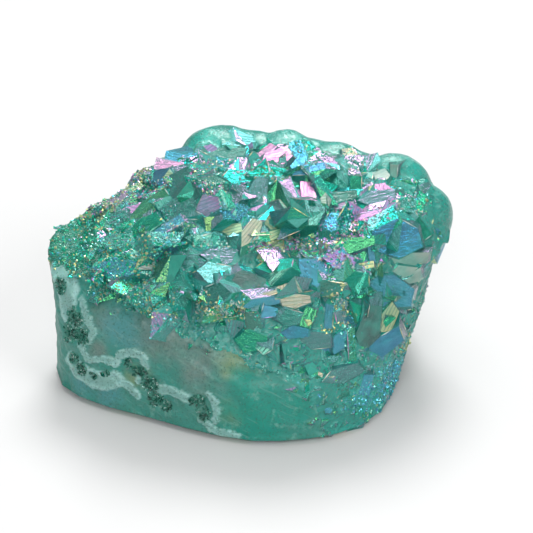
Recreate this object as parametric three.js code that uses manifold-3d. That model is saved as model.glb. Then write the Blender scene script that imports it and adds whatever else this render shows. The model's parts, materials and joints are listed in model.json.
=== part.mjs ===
// Aqua aura zeolite cluster: one broken lump of chalcedony matrix with a crust of intergrown
// crystals. Millimetres, +Z up. The origin lies under the middle of the lump, on its flat base.
// Directions are given as a compass turn about +Z from +X, then a rise above the horizontal.

import * as THREE from 'three';
import { ConvexGeometry } from 'three/addons/geometries/ConvexGeometry.js';
import { mergeVertices } from 'three/addons/utils/BufferGeometryUtils.js';
import Module from 'manifold-3d';

const wasm = await Module();
wasm.setup();

// ---- Driving dimensions -------------------------------------------------------------------

const STATIONS = 36; // steps round the lump
const WALL_ROWS = 7; // steps from the foot to the rim
const TOP_ROWS = 5; // steps from the rim to the middle of the top
const FOOT_INSET = 0.955; // the flat base is this much smaller than the foot outline
const FOOT_RISE = 1.3; // height of the rounded edge over the flat base
const WAIST_HEIGHT = 13; // level of the middle outline
const BED_CREST = 39; // height of the crystal bed along its crest
const BED_CREST_Y = 9; // where the crest runs
const BED_FALL = 0.0105; // how fast the bed drops towards the front
const BED_LEFT_X = -10; // left of here the bed also slopes down sideways
const BED_LEFT_SLOPE = 0.3;
const BED_LEFT_EASE = 4; // half the width of the bend into that slope
const WALL_ROUGHNESS = 0.45; // swell of the broken walls
const BED_ROUGHNESS = 0.8; // swell of the crystal bed
const BED_SWELL_LEVEL = 20; // the level at which the swell's pattern is cut for the bed
const BED_SHOULDER = 0.28; // the share of the way in over which the rim rises to the bed
const REACH = { out: 1.5, over: 2.8, shoulder: 0.12 }; // how far crystals may stand out of the lump
const WALL_CRYSTALS = 18; // stubby crystals on the back and right walls
const WALL_FROM = 0.05; // the share of the way round where they begin
const WALL_TO = 0.53; // and where they end
const WALL_SEED = 5;
const WALL_CLEARANCE = 5; // none stands lower than this
const CRYSTAL_LIFT = 1.1; // how far a crystal's face stands over the bed
const SKEW = 0.22; // how far a crystal's far end leans sideways, as a share of its width
const CORNER_BREAK = 0.24; // the usual share of an edge that the broken corner takes

// The lump's outlines, counterclockwise from the right. Point k of each belongs to the same wall.
const FOOT_OUTLINE = [
  [31.5, 2], [31, 8], [28, 14], [23.5, 18], [18, 21], [12.5, 23.5],
  [6, 26], [-1, 27.5], [-8, 27.5], [-16, 24], [-24, 17.5], [-32, 10],
  [-39, 4], [-41.6, -3.5], [-39.6, -12.8], [-33, -18.4], [-21.5, -23.4], [-10, -28.4],
  [0, -31.2], [8.5, -31], [17, -29], [24.6, -24], [29, -15.5], [31.4, -7],
];
const WAIST_OUTLINE = [
  [35.4, 2], [34.4, 9], [31.5, 15], [26.5, 19.5], [21, 22], [14.5, 25],
  [7, 28], [-1, 29.5], [-8.5, 29.5], [-17, 25.5], [-25, 18.5], [-33, 10.5],
  [-39.4, 4], [-41.4, -2.8], [-39.8, -11.5], [-33, -17.6], [-21, -22.8], [-10, -27.2],
  [0, -30], [8.5, -29.6], [16.5, -27], [24, -21.6], [30, -13], [34.4, -5.4],
];
const RIM_OUTLINE = [
  [41, 3, 32], [38.5, 9, 35], [35, 13, 37], [30, 16, 38], [24.5, 18, 38.2], [17, 21.5, 38.5],
  [8, 25.5, 38.5], [0, 26.8, 38.5], [-7, 28.4, 38.5], [-15, 25, 37.6], [-22, 18, 36.2], [-29, 10, 34.4],
  [-36, 5, 34.4], [-41.6, -1.2, 32], [-40.6, -8, 25.5], [-32.5, -15.4, 22.5], [-21.4, -21.2, 21.6],
  [-10.4, -25.6, 19.6], [-1, -28, 17], [7, -27.4, 14.6], [14, -25, 15.6], [21, -19.6, 21],
  [29, -12, 26], [37, -4, 28.6],
];

// Pits on the front left wall: a place on the wall, then the pit's radius.
const VUGS = [
  [-38.9, -9.9, 23.8, 1.5], [-36.4, -13.9, 18.6, 2], [-37.6, -13.2, 14.8, 1.7], [-34.8, -15.6, 15.6, 1.8],
  [-36.6, -15, 9.6, 1.3], [-34.9, -16.2, 8, 1.2], [-32, -18, 7.6, 0.7], [-29.9, -19, 8.8, 0.8],
  [-24.7, -21.2, 12.8, 0.9], [-24, -21.8, 11, 1.3], [-22.3, -22.4, 11.2, 1.3], [-20.6, -23.2, 8.9, 1.7],
  [-19.4, -24, 5.8, 1.6], [-17.6, -24.7, 5, 1.3], [-11, -27.6, 7.6, 1.7], [-9.7, -28.2, 5.4, 1.5],
];

// Flat breaks: a place on each break and the way it faces.
const BREAKS = [
  { at: [-30, 10.5, 16], facing: [132, 6] },
  { at: [-12.5, 26.4, 14], facing: [112, -8] },
  { at: [10.5, 25.6, 12], facing: [70, 4] },
  { at: [29.5, 15.6, 10], facing: [38, -14] },
  { at: [-34.8, -15.4, 20], facing: [-128, 10] },
  { at: [13, -29.4, 8], facing: [-72, 14] },
];

// ---- Helpers ------------------------------------------------------------------------------

function solidFrom(geometry) {
  const bare = geometry.index ? geometry.toNonIndexed() : geometry;
  bare.deleteAttribute('normal');
  bare.deleteAttribute('uv');
  const merged = mergeVertices(bare, 1e-4);
  return new wasm.Manifold(new wasm.Mesh({
    numProp: 3,
    vertProperties: Float32Array.from(merged.attributes.position.array),
    triVerts: Uint32Array.from(merged.index.array),
  }));
}

function geometryFrom(solid) {
  const mesh = solid.getMesh();
  const geometry = new THREE.BufferGeometry();
  geometry.setAttribute('position', new THREE.BufferAttribute(Float32Array.from(mesh.vertProperties), 3));
  geometry.setIndex(new THREE.BufferAttribute(Uint32Array.from(mesh.triVerts), 1));
  geometry.computeVertexNormals();
  return geometry;
}

function direction(turn, rise) {
  const a = THREE.MathUtils.degToRad(turn);
  const e = THREE.MathUtils.degToRad(rise);
  return new THREE.Vector3(Math.cos(e) * Math.cos(a), Math.cos(e) * Math.sin(a), Math.sin(e));
}

function seededRandom(seed) {
  let state = seed >>> 0;
  return () => {
    state = (Math.imul(state, 1664525) + 1013904223) >>> 0;
    return state / 4294967296;
  };
}

function swell(x, y, z) {
  return Math.sin(0.31 * x + 0.17 * z + 1.3) * Math.sin(0.27 * y - 0.22 * z + 0.4)
    + 0.5 * Math.sin(0.63 * x - 0.41 * y + 2.1) * Math.sin(0.58 * z + 0.37 * y)
    + 0.2 * Math.sin(0.97 * x + 0.9) * Math.sin(0.88 * y + 0.83 * z);
}

// ---- The lump -----------------------------------------------------------------------------

function closedCurve(points) {
  const knots = points.map(([x, y, z = 0]) => new THREE.Vector3(x, y, z));
  return new THREE.CatmullRomCurve3(knots, true, 'centripetal');
}

const footCurve = closedCurve(FOOT_OUTLINE);
const waistCurve = closedCurve(WAIST_OUTLINE.map(([x, y]) => [x, y, WAIST_HEIGHT]));
const rimCurve = closedCurve(RIM_OUTLINE);

function bedHeight(x, y) {
  const forward = Math.min(0, y - BED_CREST_Y);
  const left = x - BED_LEFT_X;
  const sideways = (Math.hypot(left, BED_LEFT_EASE) - left) / 2;
  const fall = BED_FALL * forward * forward + BED_LEFT_SLOPE * sideways;
  return BED_CREST - fall + BED_ROUGHNESS * swell(x, y, BED_SWELL_LEVEL);
}

// A wall point: a smooth curve through foot, waist and rim, with a broken, gently swelling face.
function wallPoint(foot, waist, rim, share) {
  const t = share * 2;
  const point = t < 1
    ? new THREE.Vector3().lerpVectors(foot, waist, t)
    : new THREE.Vector3().lerpVectors(waist, rim, t - 1);
  const round = Math.sin(Math.PI * share) ** 2;
  const outward = new THREE.Vector3(point.x, point.y, 0).normalize();
  return point.addScaledVector(outward, round * WALL_ROUGHNESS * swell(point.x, point.y, point.z));
}

// The lump, or with `out` and `over` a fuller one that far outside its walls and its bed, whose
// shoulders rise to the bed within `shoulder` of the way in.
function lumpGeometry({ out = 0, over = 0, shoulder = BED_SHOULDER } = {}) {
  const rings = [];
  for (let row = 0; row <= WALL_ROWS + TOP_ROWS; row += 1) {
    const ring = [];
    for (let k = 0; k < STATIONS; k += 1) {
      const foot = footCurve.getPoint(k / STATIONS);
      const waist = waistCurve.getPoint(k / STATIONS);
      const rim = rimCurve.getPoint(k / STATIONS);
      foot.z = FOOT_RISE;
      if (row <= WALL_ROWS) {
        ring.push(wallPoint(foot, waist, rim, row / WALL_ROWS));
      } else {
        const inward = (row - WALL_ROWS) / (TOP_ROWS + 1);
        const x = rim.x * (1 - inward);
        const y = rim.y * (1 - inward);
        const settle = THREE.MathUtils.smoothstep(inward, 0, shoulder);
        ring.push(new THREE.Vector3(x, y, THREE.MathUtils.lerp(rim.z, bedHeight(x, y), settle) + over));
      }
    }
    rings.push(ring);
  }
  for (const p of rings.flat()) {
    p.addScaledVector(new THREE.Vector3(p.x, p.y, 0).normalize(), out);
  }
  const base = [];
  for (let k = 0; k < STATIONS; k += 1) {
    const foot = footCurve.getPoint(k / STATIONS);
    base.push(new THREE.Vector3(foot.x * FOOT_INSET, foot.y * FOOT_INSET, 0));
  }
  rings.unshift(base);

  const positions = rings.flat().flatMap((p) => [p.x, p.y, p.z]);
  const underside = positions.length / 3;
  positions.push(0, 0, 0);
  const crown = underside + 1;
  positions.push(0, 0, bedHeight(0, 0) + over);
  const index = [];
  for (let k = 0; k < STATIONS; k += 1) {
    const next = (k + 1) % STATIONS;
    index.push(underside, next, k);
    for (let row = 0; row < rings.length - 1; row += 1) {
      const low = row * STATIONS;
      const high = low + STATIONS;
      index.push(low + k, low + next, high + next, low + k, high + next, high + k);
    }
    const last = (rings.length - 1) * STATIONS;
    index.push(last + k, last + next, crown);
  }
  const geometry = new THREE.BufferGeometry();
  geometry.setAttribute('position', new THREE.Float32BufferAttribute(positions, 3));
  geometry.setIndex(index);
  return geometry;
}

// ---- Crystal shapes -------------------------------------------------------------------------

// Stands a shape that points along +Z so that it points along `facing`. Its width then lies level
// to the right of someone who looks at the face, and `spin` turns it counterclockwise from there.
function stand(geometry, at, facing, spin) {
  const normal = direction(...facing);
  const level = new THREE.Vector3(-normal.y, normal.x, 0).normalize();
  const up = new THREE.Vector3().crossVectors(normal, level);
  const frame = new THREE.Matrix4().makeBasis(level, up, normal);
  geometry.rotateZ(THREE.MathUtils.degToRad(spin));
  geometry.applyMatrix4(frame);
  const height = at.length > 2 ? at[2] : bedHeight(at[0], at[1]) + CRYSTAL_LIFT;
  geometry.translate(at[0], at[1], height);
  return geometry;
}

// A repeatable value from -1 to 1 that differs from crystal to crystal.
function quirk(at, seed) {
  const wave = 43.7 * Math.sin(12.9 * at[0] + 78.2 * at[1] + seed);
  return 2 * (wave - Math.floor(wave)) - 1;
}

// A broad crystal: a flat face of width by length, narrowing to `taper` of its width, whose sides
// slope away by `flare` over `depth`. The face leans askew, and each crystal breaks one corner.
function block({ at, facing, spin = 0, width, length, depth = 6, flare = 4.4, taper = 1 }) {
  const skew = SKEW * width * quirk(at, 1);
  const brokenEnd = quirk(at, 2) > 0 ? 1 : -1;
  const cut = CORNER_BREAK * (1.3 + quirk(at, 3));
  const points = [];
  const addLayer = (halfWidth, halfLength, z) => {
    const near = [[halfWidth, -halfLength], [-halfWidth, -halfLength]];
    const far = [[halfWidth * taper + skew, halfLength], [skew - halfWidth * taper, halfLength]];
    const [corner, beside] = brokenEnd > 0 ? [far[0], near[0]] : [near[1], far[1]];
    const across = brokenEnd > 0 ? far[1] : near[0];
    for (const [x, y] of [...near, ...far]) {
      if (x !== corner[0] || y !== corner[1]) {
        points.push(new THREE.Vector3(x, y, z));
      }
    }
    for (const [x, y] of [beside, across]) {
      points.push(new THREE.Vector3(corner[0] + (x - corner[0]) * cut, corner[1] + (y - corner[1]) * cut, z));
    }
  };
  addLayer(width / 2, length / 2, 0);
  addLayer(width / 2 + flare, length / 2 + flare, -depth);
  return solidFrom(stand(new ConvexGeometry(points), at, facing, spin));
}

// A flight of growth steps: slabs that each set back by `tread` and rise by `riser`.
function steps({ at, facing, spin, width, length, count, tread, riser, depth = 6 }) {
  let solid = null;
  for (let k = 0; k < count; k += 1) {
    const run = length - k * tread;
    const slab = new THREE.BoxGeometry(width - 0.25 * k, run, depth);
    slab.translate(0, (length - run) / 2, k * riser - depth / 2);
    const placed = solidFrom(stand(slab, at, facing, spin));
    solid = solid ? solid.add(placed) : placed;
  }
  return solid;
}

// A smooth, water-clear lump: a squashed ball.
function roundLump({ at, radii }) {
  const ball = new THREE.SphereGeometry(1, 12, 7);
  ball.rotateX(Math.PI / 2);
  ball.scale(...radii);
  ball.translate(...at);
  return solidFrom(ball);
}

// ---- Rim lumps: smooth, rounded, see-through ------------------------------------------------

const RIM_LUMPS = [
  { at: [-6.5, 23.2, 36], radii: [9.8, 7, 7.2] }, // back, left of the middle
  { at: [-16, 18.4, 32.8], radii: [6.4, 6, 5.8] }, // back left shoulder
  { at: [7.4, 21, 36.4], radii: [6.6, 6, 7.2] }, // back middle
  { at: [17.5, 17, 36], radii: [7.6, 5.4, 6.8] }, // back, right of the middle
  { at: [29.6, 11.4, 32.6], radii: [9.2, 8, 10] }, // the big one on the right
  { at: [36.6, 4, 32], radii: [5.4, 6, 7.2] }, // right edge
  { at: [0.6, 22.6, 35.6], radii: [6.6, 6, 6.8] }, // between the back two
  { at: [12.6, 19.2, 35.6], radii: [5.6, 5.4, 6.8] }, // and on towards the right
  { at: [23.4, 14.6, 33.8], radii: [6, 6, 7.6] }, // and before the big one
];

// ---- Main crystals --------------------------------------------------------------------------

const BACK_ROW = [
  { at: [4.2, 15.1], facing: [-98, 36], spin: 105, width: 5, length: 7.4, taper: 0.15 },
  { at: [8.3, 14], facing: [-70, 34], spin: 70, width: 6, length: 3.2 },
  { at: [12, 10.2], facing: [-108, 46], spin: 28, width: 6.4, length: 3, taper: 0.6 },
  { at: [14.6, 5.6], facing: [-86, 38], spin: 50, width: 5.4, length: 5, taper: 0.85 },
  { at: [17.1, 9], facing: [-84, 34], spin: 115, width: 7.4, length: 2.8, taper: 0.7 },
  { at: [19.4, 8], facing: [-62, 32], spin: 110, width: 7, length: 2.2, taper: 0.6 },
  { at: [20.6, 15.8], facing: [-92, 52], spin: -30, width: 3, length: 2.4 },
  { at: [20.9, 8.6], facing: [-88, 40], spin: 20, width: 3.4, length: 2, taper: 0.5 },
  { at: [-10.5, 17.4, 40.6], facing: [-100, 50], spin: 14, width: 6, length: 3, taper: 0.6 },
  { at: [-4, 17.8, 41.6], facing: [-84, 44], spin: -20, width: 5, length: 3.6, taper: 0.5 },
  { at: [1.8, 18, 41.8], facing: [-96, 56], spin: 34, width: 5, length: 2.6, taper: 0.7 },
  { at: [-15.8, 14.6, 38.6], facing: [-112, 48], spin: 30, width: 7, length: 2.6, taper: 0.6 },
  { at: [9.4, 17.4, 41.6], facing: [-80, 52], spin: 10, width: 4.4, length: 3, taper: 0.6 },
  { at: [14.8, 14.4, 41.6], facing: [-92, 56], spin: -24, width: 5, length: 2.6, taper: 0.5 },
  { at: [25, 9.4, 39.4], facing: [-84, 50], spin: 18, width: 6, length: 3.4, taper: 0.6 },
  { at: [31, 3.2, 39.2], facing: [-78, 48], spin: -12, width: 6.4, length: 3.6, taper: 0.7 },
];

const MIDDLE_ROW = [
  { at: [11.4, 0.4], facing: [-84, 28], spin: 84, width: 4.6, length: 2.7, taper: 0.8, flare: 1.4 },
  { at: [13.6, 0.8], facing: [-46, 26], spin: 84, width: 4.4, length: 1.9, taper: 0.7, flare: 1.4 },
  { at: [17.3, 0.5], facing: [-96, 60], spin: 8, width: 5.4, length: 2.4, taper: 0.2 },
  { at: [17.4, -1.4], facing: [-90, 20], spin: -4, width: 6.6, length: 1.9 },
  { at: [20.9, 3.2], facing: [-74, 30], spin: 84, width: 4.6, length: 2.2 },
  { at: [2.1, 1.6], facing: [-90, 40], spin: 100, width: 8.5, length: 8, flare: 2.7 },
  { at: [-4, 4.6], facing: [-112, 44], spin: 60, width: 8, length: 5 },
  { at: [-8.6, -4.4], facing: [-84, 28], spin: 14, width: 3.6, length: 3.7, flare: 1.2 },
  { at: [23.5, -6.8], facing: [-92, 36], spin: 38, width: 6.2, length: 3.6 },
  { at: [27.7, -5.6, 39.4], facing: [-88, 22], spin: 80, width: 4.2, length: 2.6, flare: 1.5 },
  { at: [0.4, -11.5], facing: [-84, 30], spin: 62, width: 5.6, length: 3, taper: 0.5 },
  { at: [6.3, -9.9], facing: [-100, 42], spin: 112, width: 5, length: 3.4, taper: 0.2 },
  { at: [12, -9.3], facing: [-92, 30], spin: 5, width: 5, length: 2.6 },
  { at: [12, -12.5], facing: [-92, 50], spin: 9, width: 19, length: 1.7, flare: 3.1 },
  { at: [-5.2, -7.1], facing: [-100, 46], spin: 10, width: 5, length: 4 },
  { at: [17.4, -14.5], facing: [-80, 38], spin: 12, width: 7, length: 4, taper: 0.7 },
  { at: [22.3, -13], facing: [-50, 20], spin: 80, width: 5.4, length: 1.6, flare: 1.4 },
  { at: [24, -12.4], facing: [-78, 26], spin: -70, width: 6.8, length: 1.7, flare: 1.4 },
];

const RIGHT_SIDE = [
  { at: [28.9, -10.8, 35.8], facing: [-86, 46], spin: 10, width: 9.4, length: 7, taper: 0.8 },
  { at: [36.3, -1.8, 38.6], facing: [-84, 44], spin: 12, width: 6.4, length: 4.6, taper: 0.3 },
  { at: [40.4, -1.6, 33.6], facing: [-50, 14], spin: 76, width: 8.5, length: 2.6, flare: 1.2, depth: 5 },
  { at: [31.8, -9.6, 29.8], facing: [-72, 6], spin: 28, width: 11.5, length: 7.4, flare: 1.7 },
  { at: [27.5, -14.8, 26.4], facing: [-80, 20], spin: -8, width: 8.2, length: 5.4, taper: 0.8, flare: 1.5 },
  { at: [23.2, -19.6, 20.8], facing: [-78, 4], spin: 76, width: 9.6, length: 4.4, taper: 0.9, flare: 1.2 },
  { at: [27.2, -16.4, 21.2], facing: [-60, 12], spin: 56, width: 7, length: 2.8, taper: 0.7, flare: 1.0 },
  { at: [25.8, -17.8, 13.4], facing: [-58, 8], spin: 30, width: 23, length: 4.4, flare: 1.7 },
  { at: [33.4, -5.6, 17.8], facing: [-60, 6], spin: -60, width: 3.4, length: 2.2, flare: 1.0, depth: 4 },
];

const FRONT_CENTRE = [
  { at: [0.2, -20, 31.7], facing: [-96, 60], spin: 8, width: 6.6, length: 4.6, taper: 0.8 },
  { at: [2.1, -24.2, 28.2], facing: [-88, 18], spin: 200, width: 6.6, length: 4.8, taper: 0.35 },
  { at: [8.9, -23.2, 29.2], facing: [-90, 44], spin: 30, width: 4.5, length: 2.2 },
  { at: [6, -17.7, 33], facing: [-104, 50], spin: 12, width: 9, length: 6.5, taper: 0.6 },
  { at: [11.5, -17.9, 33], facing: [-70, 42], spin: -40, width: 8, length: 5, taper: 0.8 },
  { at: [14.3, -20.1, 30.4], facing: [-86, 30], spin: 10, width: 6, length: 3.6 },
  { at: [11.5, -25.4, 24], facing: [-84, 16], spin: 28, width: 8, length: 5 },
  { at: [17.2, -22.6, 21], facing: [-70, 12], spin: 80, width: 4.6, length: 2.4 },
  { at: [12.3, -24, 27], facing: [-60, 20], spin: 58, width: 5, length: 1.4, flare: 1.4 },
  { at: [9, -26.8, 20.4], facing: [-92, 12], spin: 12, width: 6, length: 6 },
  { at: [13, -26.6, 15.6], facing: [-80, 14], spin: 20, width: 4.4, length: 3.6 },
  { at: [17.2, -25, 14.4], facing: [-70, 20], spin: 40, width: 5, length: 3 },
  { at: [-5.6, -21.2, 29.8], facing: [-92, 30], spin: -15, width: 3.4, length: 3.6 },
  { at: [-9, -17.1, 31.4], facing: [-100, 44], spin: 28, width: 6, length: 4.4 },
  { at: [4.4, -26, 25.6], facing: [-92, 26], spin: 10, width: 7, length: 4 },
  { at: [-8.1, -12.1], facing: [-92, 40], spin: -2, width: 6.6, length: 2.6, taper: 0.8 },
];

const LEFT_BLADES = [
  { at: [-23.4, -1.6], facing: [-116, 44], spin: 34, width: 13.5, length: 2.6, taper: 0.85 },
  { at: [-27.5, 0.4], facing: [-110, 52], spin: 36, width: 12, length: 1.8 },
  { at: [-20.3, -6.2], facing: [-106, 46], spin: 24, width: 6.4, length: 3.4 },
  { at: [-14.4, -12.3], facing: [-88, 34], spin: 45, width: 3, length: 3 },
  { at: [-13.4, -1.4], facing: [-98, 48], spin: 20, width: 9, length: 5.4 },
  { at: [-17.4, 10], facing: [-112, 46], spin: 30, width: 8, length: 4 },
  { at: [-11, 11], facing: [-96, 52], spin: 16, width: 8, length: 4.6, taper: 0.7 },
  { at: [-16.6, 4.6], facing: [-104, 54], spin: 42, width: 9, length: 2.6 },
  { at: [-18, -14, 32.6], facing: [-96, 36], spin: 66, width: 9, length: 2.6, taper: 0.6 },
  { at: [-27.8, 5.6, 34.6], facing: [-120, 56], spin: 34, width: 8, length: 1.8 },
];

const STEPPED = [
  {
    at: [11.2, -6.4], facing: [-88, 44], spin: -28, width: 7.6, length: 5, count: 4, tread: 1.1, riser: 0.45,
  },
  { at: [-17, -11.2], facing: [-92, 40], spin: 30, width: 7, length: 3.4, count: 3, tread: 0.9, riser: 0.4 },
  { at: [-31, 0.6], facing: [-120, 50], spin: 36, width: 8, length: 4.4, count: 3, tread: 1.2, riser: 0.4 },
];

// ---- Crystals between the main ones ---------------------------------------------------------

const SCATTER_PITCH = 6.2;
const SCATTER_SEED = 20;
const DRUSE_EDGE_X = -30; // left of here the crystals are only sugar-sized
const LUMP_EDGE_Y = 17; // behind here the rim lumps show

const RIM_SAMPLES = 180; // points of the rim that a place's direction is matched with
const OUTER_REACH = 0.7; // further out than this, crystals stand lower and flatter
const SCATTER_REACH = 0.9; // and past this there are none
const CROWDED = 2.2; // none is nearer than this to a main crystal

// How far out a place lies: 0 in the middle, 1 on the rim.
function rimReach(x, y) {
  const turn = Math.atan2(y, x);
  const offTurn = (p) => {
    const difference = Math.atan2(p.y, p.x) - turn;
    return Math.abs(Math.atan2(Math.sin(difference), Math.cos(difference)));
  };
  const nearer = (best, p) => (offTurn(p) < offTurn(best) ? p : best);
  const nearest = rimCurve.getPoints(RIM_SAMPLES).reduce(nearer);
  return Math.hypot(x, y) / Math.hypot(nearest.x, nearest.y);
}

function scatter(taken) {
  const random = seededRandom(SCATTER_SEED);
  const between = (low, high) => low + (high - low) * random();
  const crystals = [];
  for (let gx = DRUSE_EDGE_X; gx < 36; gx += SCATTER_PITCH) {
    for (let gy = -24; gy < LUMP_EDGE_Y; gy += SCATTER_PITCH) {
      const x = gx + between(-1.8, 1.8);
      const y = gy + between(-1.8, 1.8);
      const reach = rimReach(x, y);
      const form = {
        at: [x, y, bedHeight(x, y) + between(0.8, 2.2) * (reach > OUTER_REACH ? 0.6 : 1)],
        facing: [between(-150, -30), between(reach > OUTER_REACH ? 56 : 36, 84)],
        spin: between(0, 70),
        width: between(1, 6.5),
        length: between(0.8, 2.6),
        taper: between(0.3, 1),
        flare: between(4, 6),
        depth: between(3.5, 5.5),
      };
      const crowded = taken.some((other) => Math.hypot(other.at[0] - x, other.at[1] - y) < CROWDED);
      if (!crowded && reach < SCATTER_REACH) {
        crystals.push(form);
      }
    }
  }
  return crystals;
}

// ---- Crystals and pits on the walls -----------------------------------------------------------

// Stubby crystals that stand out of the back and right walls.
function wallCrystals() {
  const random = seededRandom(WALL_SEED);
  const between = (low, high) => low + (high - low) * random();
  const crystals = [];
  for (let k = 0; k < WALL_CRYSTALS; k += 1) {
    const share = WALL_FROM + ((WALL_TO - WALL_FROM) * (k + between(-0.3, 0.3))) / WALL_CRYSTALS;
    const height = between(0.15, 0.95);
    const curves = [footCurve, waistCurve, rimCurve];
    const [foot, waist, rim] = curves.map((curve) => curve.getPoint(share));
    const place = wallPoint(foot, waist, rim, height);
    const outward = THREE.MathUtils.radToDeg(Math.atan2(place.y, place.x));
    place.addScaledVector(direction(outward, 0), between(0.3, 1.2));
    crystals.push({
      at: [place.x, place.y, Math.max(place.z, WALL_CLEARANCE)],
      facing: [outward + between(-30, 30), between(-15, 40)],
      spin: between(0, 90),
      width: between(1.5, 6),
      length: between(1.2, 3.5),
      taper: between(0.4, 1),
      flare: between(3, 4.6),
      depth: between(3.5, 5),
    });
  }
  return crystals;
}

function vug([x, y, z, radius]) {
  const pit = new THREE.IcosahedronGeometry(radius);
  pit.rotateX(x);
  pit.rotateY(z);
  pit.translate(x, y, z);
  return solidFrom(pit);
}

const BREAK_SLAB = 40; // deeper than any break

// A big block whose near face is the break. Everything in it is broken off.
function breakBlock({ at, facing }) {
  const slab = new THREE.BoxGeometry(3 * BREAK_SLAB, 3 * BREAK_SLAB, BREAK_SLAB);
  slab.translate(0, 0, BREAK_SLAB / 2);
  return solidFrom(stand(slab, at, facing, 0));
}

// ---- Assembly -------------------------------------------------------------------------------

// Gaps sealed in between crystals have grown shut, so only the outermost skin is kept.
function outerSkin(solid) {
  return solid.decompose().reduce((best, skin) => (skin.volume() > best.volume() ? skin : best));
}

function clusterSolid() {
  const placed = [...BACK_ROW, ...MIDDLE_ROW, ...RIGHT_SIDE, ...FRONT_CENTRE, ...LEFT_BLADES];
  const lumps = RIM_LUMPS.map(roundLump);
  const crystals = [
    ...placed.map(block),
    ...STEPPED.map(steps),
    ...scatter([...placed, ...STEPPED]).map(block),
    ...wallCrystals().map(block),
  ];
  const whole = solidFrom(lumpGeometry());
  const broken = BREAKS.map(breakBlock).reduce((rest, slab) => rest.subtract(slab), whole);
  const reach = lumps.reduce((room, lump) => room.add(lump), solidFrom(lumpGeometry(REACH)));
  const trimmed = crystals.reduce((mass, crystal) => mass.add(crystal)).intersect(reach);
  const cluster = lumps.reduce((mass, lump) => mass.add(lump), broken.add(trimmed));
  const pitted = VUGS.map(vug).reduce((rest, pit) => rest.subtract(pit), cluster);
  return outerSkin(pitted);
}

const clusterMaterial = new THREE.MeshStandardMaterial({ color: 0x5c9a92, roughness: 0.25, metalness: 0.1 });
const clusterGeometry = geometryFrom(clusterSolid());
clusterGeometry.computeBoundingBox();
const middle = clusterGeometry.boundingBox.getCenter(new THREE.Vector3());
clusterGeometry.translate(-middle.x, -middle.y, -clusterGeometry.boundingBox.min.z);
const cluster = new THREE.Mesh(clusterGeometry, clusterMaterial);
cluster.name = 'crystal_cluster';

const group = new THREE.Group();
group.add(cluster);

export default group;
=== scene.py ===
import functools
import json
import math

import bmesh
import bpy
import numpy as np
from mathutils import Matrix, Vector

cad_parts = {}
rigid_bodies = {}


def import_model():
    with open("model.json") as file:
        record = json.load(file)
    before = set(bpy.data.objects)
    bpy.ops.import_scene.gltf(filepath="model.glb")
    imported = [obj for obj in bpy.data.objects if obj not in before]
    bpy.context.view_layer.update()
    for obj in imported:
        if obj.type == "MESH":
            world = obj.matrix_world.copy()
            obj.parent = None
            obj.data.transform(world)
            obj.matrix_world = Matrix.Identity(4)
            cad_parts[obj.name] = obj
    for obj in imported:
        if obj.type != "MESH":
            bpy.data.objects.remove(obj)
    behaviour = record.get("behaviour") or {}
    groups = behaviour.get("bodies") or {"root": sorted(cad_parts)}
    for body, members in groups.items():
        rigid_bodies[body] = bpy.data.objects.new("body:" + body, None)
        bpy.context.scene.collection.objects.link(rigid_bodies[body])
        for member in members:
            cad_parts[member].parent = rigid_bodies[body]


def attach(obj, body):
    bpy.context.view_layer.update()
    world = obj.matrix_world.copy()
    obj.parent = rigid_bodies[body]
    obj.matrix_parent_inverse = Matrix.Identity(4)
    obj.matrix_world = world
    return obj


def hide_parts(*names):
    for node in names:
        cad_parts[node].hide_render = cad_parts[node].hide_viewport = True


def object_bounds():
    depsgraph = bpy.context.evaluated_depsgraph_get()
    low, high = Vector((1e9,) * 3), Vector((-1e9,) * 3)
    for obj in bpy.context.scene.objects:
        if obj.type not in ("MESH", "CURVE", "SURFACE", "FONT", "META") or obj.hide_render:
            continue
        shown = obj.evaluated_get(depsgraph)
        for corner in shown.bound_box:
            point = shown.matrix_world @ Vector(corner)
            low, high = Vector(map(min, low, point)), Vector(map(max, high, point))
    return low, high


bl_info = {
    "name": "Aura Crystal Cluster",
    "version": (1, 0, 0),
    "blender": (4, 5, 0),
    "location": "3D View > Sidebar > Crystal Cluster",
    "description": "Dresses a coated crystal cluster: matrix wall, glassy crystals, sugar druse and stage",
    "category": "Object",
}

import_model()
CAD_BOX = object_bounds()
NODE = "crystal_cluster"
MM = 0.001
WELD = 2e-6  # vertices nearer than this, in metres, are one


# ---- Repeatable noise and random numbers ------------------------------------------------------

def lattice_value(cell, seed):
    """A repeatable value from 0 to 1 for each whole-number cell: the three whole numbers times
    large odd numbers are added, and the sum's bits are folded on themselves and multiplied twice."""
    mask = np.uint64(0xFFFFFFFF)
    whole = cell.astype(np.int64).astype(np.uint64)
    mixed = (whole[:, 0] * np.uint64(374761393) + whole[:, 1] * np.uint64(668265263)
             + whole[:, 2] * np.uint64(2246822519) + np.uint64(seed * 3266489917 & 0xFFFFFFFF)) & mask
    mixed = ((mixed ^ (mixed >> np.uint64(15))) * np.uint64(2654435761)) & mask
    mixed = ((mixed ^ (mixed >> np.uint64(13))) * np.uint64(1274126177)) & mask
    return (mixed ^ (mixed >> np.uint64(16))).astype(np.float64) / 4294967295.0


def value_noise(places, size, seed):
    """Smooth noise from -1 to 1: the eight corners of each place's cell, `size` wide, give values
    that are blended by how far the place lies across the cell, eased as 3t^2 - 2t^3."""
    scaled = places / size
    low = np.floor(scaled)
    t = scaled - low
    t = t * t * (3 - 2 * t)
    total = np.zeros(len(places))
    for corner in np.ndindex(2, 2, 2):
        step = np.array(corner, float)
        weight = np.prod(np.where(step > 0, t, 1 - t), axis=1)
        total += weight * lattice_value(low + step, seed)
    return 2 * total - 1


def layered_noise(places, size, seed, layers=3):
    """Noise at `size`, plus each layer at half the size and half the strength of the last."""
    total = np.zeros(len(places))
    for k in range(layers):
        total += value_noise(places, size / 2 ** k, seed + k) / 2 ** k
    return total


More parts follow.
